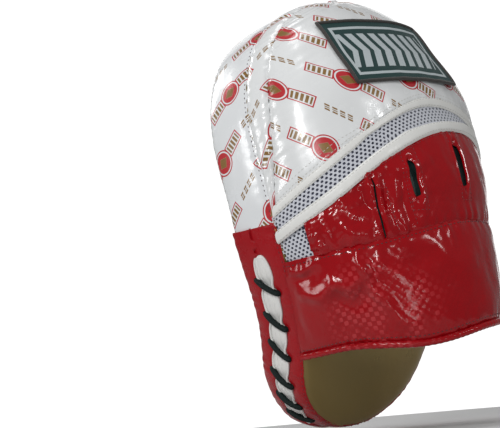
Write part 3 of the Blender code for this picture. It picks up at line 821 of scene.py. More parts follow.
@dataclass
class Panel:
    """A panel of leather or cloth, cut flat as a grid and draped over part of the mitt."""

    name: str
    surface: Surface
    columns: int
    rows: int
    lift: Callable[[Array, Array, Array, Array], Array] | float = 0.0
    thickness: float = 1.2
    columns_at: Sequence[float] = field(default_factory=list)
    flat_map: Callable[[Array, Array], Array] | None = None

    def grid(self) -> tuple[Array, Array]:
        """The cut's two coordinates from 0 to 1, with a column of the grid at each place in columns_at."""
        u = np.linspace(0, 1, self.columns + 1)
        if len(self.columns_at):
            wanted = np.array([0, *self.columns_at, 1.0])
            u = np.interp(u, np.round(wanted * self.columns) / self.columns, wanted)
        return np.meshgrid(u, np.linspace(0, 1, self.rows + 1))

    def shape(self) -> tuple[Array, Array]:
        """Draped points, and the metric map of the cut."""
        u, v = self.grid()
        base = self.surface(u, v)
        across = np.linalg.norm(np.diff(base, axis=1), axis=-1)
        along = np.concatenate([np.zeros((len(u), 1)), np.cumsum(across, axis=1)], axis=1)
        along -= along[:, [self.columns // 2]]
        steps = np.linalg.norm(np.diff(base, axis=0), axis=-1)
        up = np.concatenate([np.zeros((1, u.shape[1])), np.cumsum(steps, axis=0)], axis=0)
        lift = self.lift(u, v, along, up) if callable(self.lift) else self.lift
        points = base + outward(self.surface, u, v) * np.broadcast_to(lift, u.shape)[..., None]
        return points, self.flat_map(u, v) if self.flat_map else np.stack([along, up], -1)

    def cut(self) -> Object:
        """Makes the open sheet."""
        deselect()
        bpy.ops.mesh.primitive_grid_add(x_subdivisions=self.columns, y_subdivisions=self.rows, size=1)
        obj = bpy.context.object
        obj.name = obj.data.name = self.name
        points, cut_map = self.shape()
        mesh = obj.data
        flat = np.empty(len(mesh.vertices) * 3)
        mesh.vertices.foreach_get("co", flat)
        flat = flat.reshape(-1, 3) + 0.5
        i = np.rint(flat[:, 0] * self.columns).astype(int)
        j = np.rint(flat[:, 1] * self.rows).astype(int)
        mesh.vertices.foreach_set("co", (points[j, i] * MM).ravel())
        lay_map(mesh, cut_map[j, i])
        mesh.update()
        return obj

    def make(self, weld: bool = False) -> Object:
        """Makes the panel with its thickness, smooth shaded."""
        obj = self.cut()
        face_out(obj, weld)
        thicken(obj, self.thickness)
        return obj


def face_out(obj: Object, weld: bool = False) -> None:
    """Turns a sheet's faces away from the inside of the mitt, after merging its poles.

    Args:
        obj: The piece.
        weld: Whether poles are merged first.
    """
    only(obj)
    bpy.ops.object.mode_set(mode="EDIT")
    bpy.ops.mesh.select_all(action="SELECT")
    if weld:
        bpy.ops.mesh.remove_doubles(threshold=0.02 * MM)
    bpy.ops.object.mode_set(mode="OBJECT")
    middle = Vector(INSIDE) * MM
    away = sum(f.normal.dot(f.center - middle) * f.area for f in obj.data.polygons)
    if away < 0:
        bpy.ops.object.mode_set(mode="EDIT")
        bpy.ops.mesh.select_all(action="SELECT")
        bpy.ops.mesh.flip_normals()
        bpy.ops.object.mode_set(mode="OBJECT")


def thicken(obj: Object, thickness: float) -> None:
    """Gives a sheet its thickness inwards, in millimetres, and smooth shading."""
    apply_modifier(obj, "SOLIDIFY", thickness=thickness * MM, offset=-1.0, use_even_offset=False)
    only(obj)
    bpy.ops.object.shade_smooth_by_angle(angle=math.radians(55))


def arch_between(low: Curve, high: Curve, first: float, last: float, tuck: tuple[float, float] = (0, 0)) -> Surface:
    """Surface on the arch between two seams, from one angle to another, running under the seams by a tuck.

    Args:
        low: Heights of the lower seam, by angle.
        high: Heights of the upper seam, by angle.
        first: Where it starts.
        last: Where it ends.
        tuck: How far it runs under the lower and the upper seam.

    Returns:
        The surface.
    """

    def surface(u: Array, v: Array) -> Array:
        """Where a place on the cut lies."""
        angle = first + (last - first) * u
        bottom, top = through(low, angle) - tuck[0], through(high, angle) + tuck[1]
        return FORM.arch(angle, bottom + (top - bottom) * v)

    return surface


def wall_between(first: float, last: float, shallow: float, deep: float) -> Surface:
    """Surface on the pad's side between two turns and two depths."""

    def surface(u: Array, v: Array) -> Array:
        """Where a place on the cut lies."""
        return FORM.wall(first + (last - first) * u, shallow + (deep - shallow) * v)

    return surface


def tube(name: str, points: Array, radius: float | Array, cyclic: bool = False, sides: int = 8) -> Object:
    """Round cord along points, as a mesh with its own map along and round it.

    Args:
        name: Name of the piece.
        points: Points of its middle line, in millimetres.
        radius: Radius, or a radius for each point.
        cyclic: Whether its ends meet.
        sides: Faces round it.

    Returns:
        The piece.
    """
    points = np.asarray(points, float)
    ahead = np.roll(points, -1, 0) - np.roll(points, 1, 0)
    if not cyclic:
        ahead[0], ahead[-1] = points[1] - points[0], points[-1] - points[-2]
    ahead /= np.linalg.norm(ahead, axis=1, keepdims=True)
    side = np.cross(ahead[0], [0.1, 0.2, 1.0])
    radius = np.broadcast_to(radius, len(points))
    length = lengths_along(points)
    bm = bmesh.new()
    layer = bm.loops.layers.uv.new("cut")
    rings = []
    for i, point in enumerate(points):
        side = side - ahead[i] * np.dot(side, ahead[i])
        side /= np.linalg.norm(side)
        other = np.cross(ahead[i], side)
        angles = np.arange(sides) * 2 * np.pi / sides
        ring = point + radius[i] * (np.cos(angles)[:, None] * side + np.sin(angles)[:, None] * other)
        rings.append([bm.verts.new(p * MM) for p in ring])
    pairs = list(zip(range(len(rings)), range(1, len(rings))))
    if cyclic:
        pairs.append((len(rings) - 1, 0))
    for a, b in pairs:
        for k in range(sides):
            n = (k + 1) % sides
            quad = bm.faces.new((rings[a][k], rings[a][n], rings[b][n], rings[b][k]))
            around = 2 * np.pi * radius[a] / sides
            end = length[b] if b else length[a] + 1
            for loop, spot in zip(quad.loops, ((length[a], k), (length[a], k + 1), (end, k + 1), (end, k))):
                loop[layer].uv = (spot[0] * MM, spot[1] * around * MM)
    if not cyclic:
        bm.faces.new(rings[0][::-1])
        bm.faces.new(rings[-1])
    bmesh.ops.recalc_face_normals(bm, faces=bm.faces)
    mesh = bpy.data.meshes.new(name)
    bm.to_mesh(mesh)
    bm.free()
    obj = stand(name, mesh)
    only(obj)
    bpy.ops.object.shade_smooth_by_angle(angle=math.radians(60))
    return obj


def sew(
    name: str, paths: Sequence[tuple[Array, Array]], finish: Finish, size: tuple[float, float, float]
) -> None:
    """Sews rows of stitches, each a copy of one thread loop.

    Args:
        name: Name of the piece.
        paths: For each row, its points and the outward normals there.
        finish: The thread.
        size: Pitch, length and radius of a stitch.
    """
    pitch, length, radius = size
    deselect()
    bpy.ops.mesh.primitive_uv_sphere_add(segments=6, ring_count=4, radius=1, rotation=(0, math.pi / 2, 0))
    loop = bpy.context.object
    bpy.ops.object.transform_apply(rotation=True)
    stitch = np.array([v.co for v in loop.data.vertices]) * [length / 2, radius, radius]
    stitch[:, 2] -= (stitch[:, 0] / length * 2) ** 2 * radius * 0.9
    faces = [tuple(f.vertices) for f in loop.data.polygons]
    spots, indices = [], []
    for points, normals in paths:
        reach = lengths_along(points)
        for at in np.arange(pitch / 2, reach[-1], pitch):
            here, ahead = ([np.interp(a, reach, points[:, k]) for k in range(3)] for a in (at, at + 0.3))
            run = np.array(ahead) - here
            if np.linalg.norm(run) < 1e-6:
                continue
            run /= np.linalg.norm(run)
            up = np.array([np.interp(at, reach, normals[:, k]) for k in range(3)])
            up -= run * np.dot(up, run)
            up /= np.linalg.norm(up)
            base = len(spots) * len(stitch)
            spots.append(here + stitch @ np.array([run, np.cross(up, run), up]))
            indices += [tuple(base + i for i in face) for face in faces]
    mesh = bpy.data.meshes.new(name)
    mesh.from_pydata((np.concatenate(spots) * MM).tolist(), [], indices)
    bpy.data.objects.remove(loop)
    obj = stand(name, mesh)
    only(obj)
    bpy.ops.object.shade_smooth()
    dress(obj, finish)


def along_panel(panel: Panel, u: Array, v: Array | float, raise_by: float) -> tuple[Array, Array]:
    """A line on a finished panel and its normals, for stitches to lie on.

    Args:
        panel: The finished panel.
        u: Places across the cut, from 0 to 1.
        v: Places up the cut, from 0 to 1.
        raise_by: How far above it the line lies.

    Returns:
        The points and the normals.
    """
    u, v = np.broadcast_arrays(u, v)
    points, _ = panel.shape()
    gu, gv = panel.grid()
    normals = np.cross(np.gradient(points, axis=1), np.gradient(points, axis=0))
    normals /= np.maximum(np.linalg.norm(normals, axis=-1, keepdims=True), 1e-9)
    facing = np.sum(normals * outward(panel.surface, gu, gv))
    normals *= 1 if facing > 0 else -1
    i = np.interp(u, gu[0], np.arange(gu.shape[1]))
    j = np.clip(v * panel.rows, 0, panel.rows - 1e-6)
    i = np.clip(i, 0, panel.columns - 1e-6)
    i0, j0 = i.astype(int), j.astype(int)
    fi, fj = (i - i0)[:, None], (j - j0)[:, None]

    def read(values: Array) -> Array:
        """Values between the grid's."""
        low = values[j0, i0] * (1 - fi) + values[j0, i0 + 1] * fi
        high = values[j0 + 1, i0] * (1 - fi) + values[j0 + 1, i0 + 1] * fi
        return low * (1 - fj) + high * fj

    up = read(normals)
    return read(points) + up * raise_by, up


# --- The pad -----------------------------------------------------------------------------------------------------


@dataclass
class StrikingPad:
    """Striking face, palm panel and the side wall in two colours."""

    colour_seam: float = 126.0
    face_crown: float = 3.6
    back_crown: float = 4.2
    edge_roll: float = 2.4

    def disc(self, depth: Callable[[Array, Array], Array], inset: float) -> Surface:
        """Surface over the whole outline, as rings round its middle.

        Args:
            depth: Depth by share of the radius and distance from the seam.
            inset: How far inside the outline.

        Returns:
            The surface.
        """

        def surface(u: Array, v: Array) -> Array:
            """Where a place on the cut lies."""
            a, b = 2 * u - 1, 2 * v - 1
            radius = np.maximum(np.abs(a), np.abs(b))
            safe = np.maximum(radius, 1e-9)
            side = np.where(a > 0, b / safe / 8, 0.5 - b / safe / 8)
            ends = np.where(b > 0, 0.25 - a / safe / 8, 0.75 + a / safe / 8)
            around = np.where(np.abs(a) >= np.abs(b), side, ends) % 1
            turn = np.where(around <= 0.25, 0.5 + 2 * around, 2 * around - 1.5)
            x, height = FORM.rim(turn, inset)
            middle_x, middle_height = 1.5, 138.0
            seam = (1 - radius) * np.hypot(x - middle_x, height - middle_height)
            x = middle_x + (x - middle_x) * radius
            height = middle_height + (height - middle_height) * radius
            through_pad = depth(radius, seam)
            return FORM.bend(x, height + FORM.lift(height, through_pad), through_pad)

        return surface

    def face_depth(self, radius: Array, seam: Array) -> Array:
        """Depth of the striking face: a low crown that rolls over into its seam."""
        return -self.face_crown * (1 - radius**3) + self.edge_roll * np.exp(-seam / 2.6)

    def back_depth(self, radius: Array, seam: Array) -> Array:
        """Depth of the palm panel, which swells between its seams."""
        swell = self.back_crown * (1 - np.exp(-seam / 6.0)) * (1 - 0.5 * radius**6)
        return FORM.deep + swell - 1.2 * np.exp(-seam / 2.0)

    def build_face(self) -> None:
        """The striking face and its row of stitches."""

        def lift(u: Array, v: Array, along: Array, up: Array) -> Array:
            """How far the finished panel stands off its surface."""
            points = self.disc(self.face_depth, 0.8)(u, v)
            return waves(points, 60, 1) * 0.5 + waves(points, 16, 2) * 0.12

        def flat_map(u: Array, v: Array) -> Array:
            """Where a place lies on the printed sheet."""
            points = self.disc(lambda radius, seam: 0 * radius, 0.8)(u, v)
            return np.stack([points[..., 0], points[..., 2] + FORM.palm - 147], -1)

        panel = Panel("striking_face", self.disc(self.face_depth, 0.8), 96, 96, lift, 1.6, flat_map=flat_map)
        obj = dress(panel.make(), Finish.FACE, replaces=("striking_face", "impact_foam"))
        turns = np.linspace(-1, 1, 700)
        ring = FORM.wall(turns, 0.2, 3.4)
        inner = FORM.wall(turns, 1.2, 3.4)
        normals = (ring - inner) / np.linalg.norm(ring - inner, axis=1, keepdims=True)
        rows = [(ring + normals * 0.5, normals)]
        sew("face_stitches", rows, Finish.THREAD_WHITE, (3.6, 2.5, 0.32))

    def build_palm(self) -> None:
        """The olive palm panel."""

        def lift(u: Array, v: Array, along: Array, up: Array) -> Array:
            """How far the finished panel stands off its surface."""
            return waves(self.disc(self.back_depth, 0.6)(u, v), 34, 3) * 0.45

        panel = Panel("palm_panel", self.disc(self.back_depth, 0.6), 84, 84, lift, 1.6)
        obj = dress(panel.make(), Finish.BRONZE, replaces=("palm_panel", "core_foam"))

    def bulge(self, swell: float, seed: int) -> Callable[[Array, Array, Array, Array], Array]:
        """Swell of a gusset between its two seams, with gathers beside them.

        Args:
            swell: Height of its middle.
            seed: Which noise.

        Returns:
            The lift.
        """

        def lift(u: Array, v: Array, along: Array, up: Array) -> Array:
            """How far the finished panel stands off its surface."""
            wide = FORM.deep
            near, far = v * wide, (1 - v) * wide
            body = swell * (1 - np.abs(2 * v - 1) ** 3.2)
            seams = -1.1 * (np.exp(-near / 1.6) + np.exp(-far / 1.6))
            gathers = puckers(near, along + seed, 7.5, 0.22, 6) + puckers(far, along + seed * 3, 8.5, 0.3, 7)
            ground = np.stack([along, up, up * 0 + seed], -1)
            return body + seams + gathers + waves(ground, 24, seed) * 0.3

        return lift

    def build_upper_gusset(self) -> None:
        """White printed wall round the fingers."""
        seam = FORM.turn_at(self.colour_seam)
        wall = wall_between(seam, 2 - seam, 1.2, FORM.deep - 0.2)
        panel = Panel("upper_gusset", wall, 260, 26, self.bulge(1.8, 5), 1.4)
        dress(panel.make(), Finish.SIDE, replaces=("upper_gusset",))
        u = np.linspace(0, 1, 600)
        seams = (("back", 0.955, Finish.THREAD_DARK, 1.5), ("face", 0.05, Finish.THREAD_WHITE, 2.0))
        for side, at, thread, length in seams:
            rows = [along_panel(panel, u, at, 0.1)]
            sew(f"gusset_{side}_stitches", rows, thread, (3.4, length, 0.3))

    def build(self) -> None:
        """The whole pad but for its red side."""
        self.build_face()
        self.build_palm()
        self.build_upper_gusset()


@dataclass
class LacedSide:
    """Red wall round the heel with its slot, tongue, bead and lace."""

    colour_seam: float = 126.0
    slot_top: float = 111.0
    half_open: float = 7.8
    crossings: tuple[float, ...] = (39.0, 64.0, 85.0, 106.0, 126.0, 144.0)
    slant: float = 4.2
    reach: float = 8.0
    over: float = -2.4
    lace_radius: float = 2.0

    def __post_init__(self) -> None:
        """Measures the wall from the thumb's colour seam round the heel."""
        self.turns = np.linspace(FORM.turn_at(self.colour_seam), -FORM.turn_at(self.colour_seam), 1601)
        self.lengths = lengths_along(FORM.wall(self.turns, FORM.deep / 2))
        self.start = float(np.interp(-FORM.turn_at(self.slot_top), -self.turns, self.lengths))
        self.end = self.crossings[-1] + 12.3

    def turn(self, length: Array) -> Array:
        """The wall's turn at a length from the colour seam."""
        return np.interp(length, self.lengths, self.turns)

    def pinch(self, length: Array, width: float = 4.2) -> Array:
        """1 at each crossing of the lace, falling to 0 beside it."""
        return sum(np.exp(-(((length - at) / width) ** 2)) for at in self.crossings)

    def opening(self, length: Array) -> Array:
        """Half of the slot's opening, pinched at each crossing of the lace."""
        middle, half = (self.start + self.end) / 2, (self.end - self.start) / 2
        ends = np.sqrt(np.clip(1 - np.abs((length - middle) / half) ** 12, 0, 1))
        return self.half_open * ends * (1 - 0.3 * self.pinch(length, 5.0))

    def pulled(self, length: Array, depth: Array) -> Array:
        """How far the leather is drawn in by the lace at its holes.

        Args:
            length: Lengths round the heel.
            depth: Depths from the striking face.

        Returns:
            Heights, below 0 where it is drawn in.
        """
        dent = np.zeros(np.broadcast(length, depth).shape)
        for at, deep in self.holes():
            far = np.hypot(length - at, depth - deep)
            dent -= 1.1 * np.exp(-((far / 3.4) ** 2))
        return dent

    def holes(self) -> list[tuple[float, float]]:
        """Length and depth of each lace hole, front and back of each crossing in turn."""
        middle = FORM.deep / 2
        spots = []
        for at in self.crossings:
            spots += [(at - self.slant, middle - self.reach), (at + self.slant, middle + self.reach)]
        return spots

    def side(self, length: Array, v: Array, back: bool) -> tuple[Array, Array, Array]:
        """Depth on one side of the slot, and the depths of its seam and of the slot's edge."""
        edge = FORM.deep / 2 + (1 if back else -1) * self.opening(length)
        outer = FORM.deep - 0.2 if back else 1.2
        return outer + (edge - outer) * v, outer, edge

    def leather(self, back: bool) -> Surface:
        """Surface of the wall on one side of the slot, from its seam to the slot's edge.

        Args:
            back: Which side of the slot.

        Returns:
            The surface.
        """

        def surface(u: Array, v: Array) -> Array:
            """Where a place on the cut lies."""
            length = self.lengths[-1] * u
            return FORM.wall(self.turn(length), self.side(length, v, back)[0])

        return surface

    def build_leather(self) -> None:
        """The two red sides of the slot, as one piece."""
        halves, rows = [], []
        for back in (False, True):
            def lift(u: Array, v: Array, along: Array, up: Array, back: bool = back) -> Array:
                """How far the finished panel stands off its surface."""
                length = self.lengths[-1] * u
                depth, outer, edge = self.side(length, v, back)
                seam, slot = np.abs(depth - outer), np.abs(edge - depth)
                body = 1.9 * (1 - np.abs(2 * depth / FORM.deep - 1) ** 3.0)
                lip = -1.0 * np.exp(-slot / 1.3) * np.clip(self.opening(length) / 2, 0, 1)
                ground = np.stack([length, depth, depth * 0 + 9], -1)
                ripple = puckers(seam, length, 8.0, 0.28, 6) + waves(ground, 17, 8) * 0.35
                return body + lip - 1.1 * np.exp(-seam / 1.5) + ripple + self.pulled(length, depth)

            panel = Panel("gusset_back" if back else "lower_gusset", self.leather(back), 420, 12, lift)
            halves.append(panel.cut())
            rows.append(along_panel(panel, np.linspace(0.004, 0.996, 700), 0.10, 0.1))
        front, rear = halves
        only(front)
        rear.select_set(True)
        bpy.ops.object.join()
        face_out(front, True)
        thicken(front, 1.5)
        dress(front, Finish.RED, replaces=("lower_gusset",))
        sew("red_side_stitches", rows, Finish.THREAD_RED, (3.2, 2.0, 0.28))

    def build_tongue(self) -> None:
        """White tongue behind the slot, creased lengthwise and puffed between the crossings."""
        first, last, wide = self.start - 4, self.end + 4, 20

        def surface(u: Array, v: Array) -> Array:
            """Where a place on the cut lies."""
            at = first + (last - first) * u
            return FORM.wall(self.turn(at), FORM.deep / 2 + (v - 0.5) * wide, 1.6)

        def lift(u: Array, v: Array, along: Array, up: Array) -> Array:
            """How far the finished panel stands off its surface."""
            at, off = first + (last - first) * u, (v - 0.5) * wide
            half = np.maximum(self.opening(at), 0.5)
            puff = 4.6 * (1 - 0.45 * self.pinch(at, 5.0)) * smooth(self.opening(at) / 4)
            dome = puff * np.clip(1 - (off / (half + 0.9)) ** 2, 0, 1) ** 0.5
            creases = np.exp(-(((off - 2.4) / 0.5) ** 2)) + np.exp(-(((off + 2.0) / 0.5) ** 2))
            return dome - 0.9 * creases + waves(np.stack([at, off, off * 0], -1), 9, 4) * 0.25

        panel = Panel("lace_tongue", surface, 280, 30, lift, 1.2)
        dress(panel.make(), Finish.WHITE, replaces=("lace_tongue",))

    def build_bead(self) -> None:
        """Thin pale bead round the slot."""
        at = np.linspace(self.start, self.end, 160)[1:-1]
        half = np.maximum(self.opening(at) - 0.5, 0.4)
        first = FORM.wall(self.turn(at), FORM.deep / 2 - half, -1.5)
        second = FORM.wall(self.turn(at), FORM.deep / 2 + half, -1.5)
        obj = tube("slot_bead", np.concatenate([first, second[::-1]]), 0.85, True)
        dress(obj, Finish.WHITE, replaces=("slot_bead",))

    def build_lace(self) -> None:
        """Lace, over the slot at each crossing and under it between them."""
        route: list[tuple[float, float, float]] = []
        for i, (length, depth) in enumerate(self.holes()):
            steps = (5.8, 3.4, 0.2, self.over + 0.6)
            if i % 2:
                route += [(length, depth, inset) for inset in steps[::-1]]
                continue
            route += [(length, depth, inset) for inset in steps]
            for share in (0.3, 0.5, 0.7):
                inset = self.over - 0.9 * math.sin(math.pi * share)
                route.append((length + self.slant * 2 * share, depth + self.reach * 2 * share, inset))
        first, last = route[0], route[-1]
        route = [(first[0] - 8, first[1] + 4, 5.8), *route, (last[0] + 8, last[1] - 4, 5.8)]
        knots = np.array([FORM.wall(self.turn(a), d, inset) for a, d, inset in route])
        fine = np.linspace(0, len(knots) - 1, len(knots) * 5)
        order = np.arange(len(knots))
        points = np.stack([through(list(zip(order, knots[:, k])), fine) for k in range(3)], -1)
        obj = tube("lace", points, self.lace_radius * 0.98, False, 12)
        dress(obj, Finish.LACE, replaces=("lace",))

    def build(self) -> None:
        """The red side and its lacing."""
        self.build_leather()
        self.build_tongue()
        self.build_bead()
        self.build_lace()


# --- The hood ----------------------------------------------------------------------------------------------------


@dataclass
class FingerHood:
    """Side strip, domed panel, lining, label and vent over the fingers."""

    swell: float = 1.2
    label_at: tuple[float, float] = (88.0, 214.0)
    mesh_end: float = 124.0

    def dome(self, drop: float = 0.0, first: float = 0.0, last: float = 180.0) -> Surface:
        """Surface of the hood from its lower edge to its top, smaller by a drop.

        Args:
            drop: How much smaller the surface is than the hood.
            first: Where it starts.
            last: Where it ends.

        Returns:
            The surface.
        """

        def surface(u: Array, v: Array) -> Array:
            """Where a place on the cut lies."""
            angle = first + (last - first) * u
            low = through(HOOD_EDGE, angle) - 0.8 + drop * 0.3
            return FORM.arch(angle, low + (FORM.tall - drop * 0.6 - low) * np.sin(v * np.pi / 2))

        return surface

    def height(self, u: Array, v: Array) -> Array:
        """Height of a place on the panel."""
        low = through(HOOD_EDGE, 180 * u)
        return low + (FORM.tall - low) * np.sin(v * np.pi / 2)

    def build_panel(self) -> None:
        """The domed panel."""

        def lift(u: Array, v: Array, along: Array, up: Array) -> Array:
            """How far the finished panel stands off its surface."""
            rise = FORM.crown(self.height(u, v)) * np.sin(np.pi * u)
            seam = -1.0 * np.exp(-rise / 1.8) + self.swell * (1 - np.exp(-rise / 12))
            edge = -0.9 * np.exp(-up / 1.5)
            gathers = puckers(rise, up * 1.1 + along * 0.2, 9.5, 0.55, 13) + puckers(up, along, 11, 0.25, 9)
            ground = FORM.arch(180 * u, 140 + 120 * v)
            return seam + edge + gathers + waves(ground, 42, 11) * 0.9 + waves(ground, 15, 12) * 0.2

        def flat_map(u: Array, v: Array) -> Array:
            """Where a place lies on the printed sheet."""
            return FORM.level_map(180 * u, self.height(u, v))

        panel = Panel("hood_panel", self.dome(), 190, 110, lift, 1.3, flat_map=flat_map)
        obj = dress(panel.make(True), Finish.HOOD, replaces=("hood_panel", "hood_foam"))
        u = np.linspace(0.012, 0.988, 700)
        rows = [along_panel(panel, u, v, 0.05) for v in (0.011, 0.027)]
        sew("hood_edge_stitches", rows, Finish.THREAD_WHITE, (3.0, 2.2, 0.22))

    def build_strip(self) -> None:
        """Side strip between the pad and the dome."""
        start = FORM.turn_at(FORM.strip_start + 0.5)

        def surface(u: Array, v: Array) -> Array:
            """Where a place on the cut lies."""
            turn = start + (2 - 2 * start) * u
            at = (turn + 1) % 2 - 1
            height = FORM.tall / 2 * (1 - np.cos(np.pi * at))
            strip = FORM.strip(height) * v
            under = 0.9 * v * np.clip(strip / 4, 0, 1)
            width = FORM.half_width(height) - 4 * strip / 17
            return FORM.bend(FORM.centre(height) + np.sign(at) * width, height, FORM.deep - 0.2 + strip + under)

        def lift(u: Array, v: Array, along: Array, up: Array) -> Array:
            """How far the finished panel stands off its surface."""
            wide = np.maximum(up[-1], 0.5)
            near, far = v * wide, (1 - v) * wide
            body = 2.1 * (1 - np.abs(2 * v - 1) ** 2.6) * np.clip(wide / 12, 0, 1)
            seams = -0.7 * (np.exp(-near / 1.2) + np.exp(-far / 1.2))
            gathers = puckers(near, along, 9, 0.35, 7) + puckers(far, along + 4, 8, 0.45, 7)
            return body + seams + gathers * np.clip(wide / 10, 0, 1)

        panel = Panel("hood_side_strip", surface, 300, 14, lift, 1.3)
        dress(panel.make(), Finish.STRIP, replaces=("hood_side_strip",))

    def build_lining(self) -> None:
        """Quilted lining inside the hood."""

        def lift(u: Array, v: Array, along: Array, up: Array) -> Array:
            """How far the finished panel stands off its surface."""
            quilt = np.abs(np.sin((along + up) / 22 * np.pi)) * np.abs(np.sin((along - up) / 22 * np.pi))
            return -6.4 - 1.2 * np.sqrt(quilt)

        panel = Panel("hood_lining", self.dome(3.0, 3.0, 177.0), 90, 50, lift, 0.8)
        dress(panel.make(True), Finish.LINING, replaces=("hood_lining",))

    def build_bands(self) -> None:
        """The two white bindings that edge the vent, and their stitches."""
        rows = []
        names = (("hood_edge_band", MESH_TOP, HOOD_EDGE, 1.1), ("cover_edge_band", COVER_TOP, MESH_BOTTOM, 1.5))
        for name, low, high, swell in names:
            def lift(u: Array, v: Array, along: Array, up: Array, swell: float = swell) -> Array:
                """How far the finished panel stands off its surface."""
                crown = swell * (1 - np.abs(2 * v - 1) ** 4)
                return 0.3 + crown + puckers(np.abs(v - 0.5) * 6, along, 13, 0.12, 9)

            panel = Panel(name, arch_between(low, high, 0, 180, (0.4, 0.4)), 200, 10, lift, 1.6)
            dress(panel.make(), Finish.WHITE, replaces=(name,))
            u = np.linspace(0.01, 0.99, 600)
            rows += [along_panel(panel, u, v, 0.05) for v in (0.16, 0.84)]
        sew("band_stitches", rows, Finish.THREAD_WHITE, (3.0, 2.3, 0.24))

    def build_vents(self) -> None:
        """Open netting between the bindings and at the thumb, over a dark backing."""
        Netting("vent_mesh", MESH_BOTTOM, MESH_TOP, 0.0, self.mesh_end, 1.6).build()
        Netting("thumb_vent_mesh", CUFF_TOP, COVER_TOP, 0.0, 18.0, 1.0, 1.4).build()

    def label_surface(self, u: Array, v: Array) -> Array:
        """Surface of the label, over the dome.

        Args:
            u: Places across the cut, from 0 to 1.
            v: Places up the cut, from 0 to 1.

        Returns:
            Points in millimetres.
        """
        angles = np.linspace(0, 180, 721)
        out = np.empty((*np.shape(u), 3))
        for j in np.ndindex(u.shape[0]):
            height = self.label_at[1] + (v[j][0] - 0.5) * LABEL_SIZE[1] * 0.92
            line = FORM.arch(angles, height)
            reach = lengths_along(line)
            middle = np.interp(self.label_at[0], angles, reach)
            out[j] = FORM.arch(np.interp(middle + (u[j] - 0.5) * LABEL_SIZE[0], reach, angles), height)
        return out

    def build_label(self) -> None:
        """Woven label with its overlocked edge."""

        def lift(u: Array, v: Array, along: Array, up: Array) -> Array:
            """How far the finished panel stands off its surface."""
            inset = np.minimum(np.minimum(u, 1 - u) * LABEL_SIZE[0], np.minimum(v, 1 - v) * LABEL_SIZE[1])
            edge = 0.5 * np.exp(-((inset / 3.0) ** 2))
            return 2.5 + edge + waves(FORM.arch(180 * u, 214 + 40 * v), 42, 11) * 0.7

        panel = Panel("label_patch", self.label_surface, 72, 40, lift, 1.3)
        points, cut_map = panel.shape()
        obj = panel.cut()
        middle_up = cut_map[panel.rows // 2, panel.columns // 2, 1]
        for corner in obj.data.uv_layers["cut"].data:
            corner.uv[1] -= middle_up * MM
        face_out(obj)
        thicken(obj, 1.3)
        dress(obj, Finish.LABEL, replaces=("label_patch",))
        rim = np.concatenate([points[0, :-1], points[:-1, -1], points[-1, :0:-1], points[:0:-1, 0]])
        edge = tube("label_overlock", rim, 1.25, True, 8)
        dress(edge, Finish.LABEL_EDGE)

    def build(self) -> None:
        """The whole hood."""
        self.build_strip()
        self.build_panel()
        self.build_lining()
        self.build_bands()
        self.build_vents()
        self.build_label()


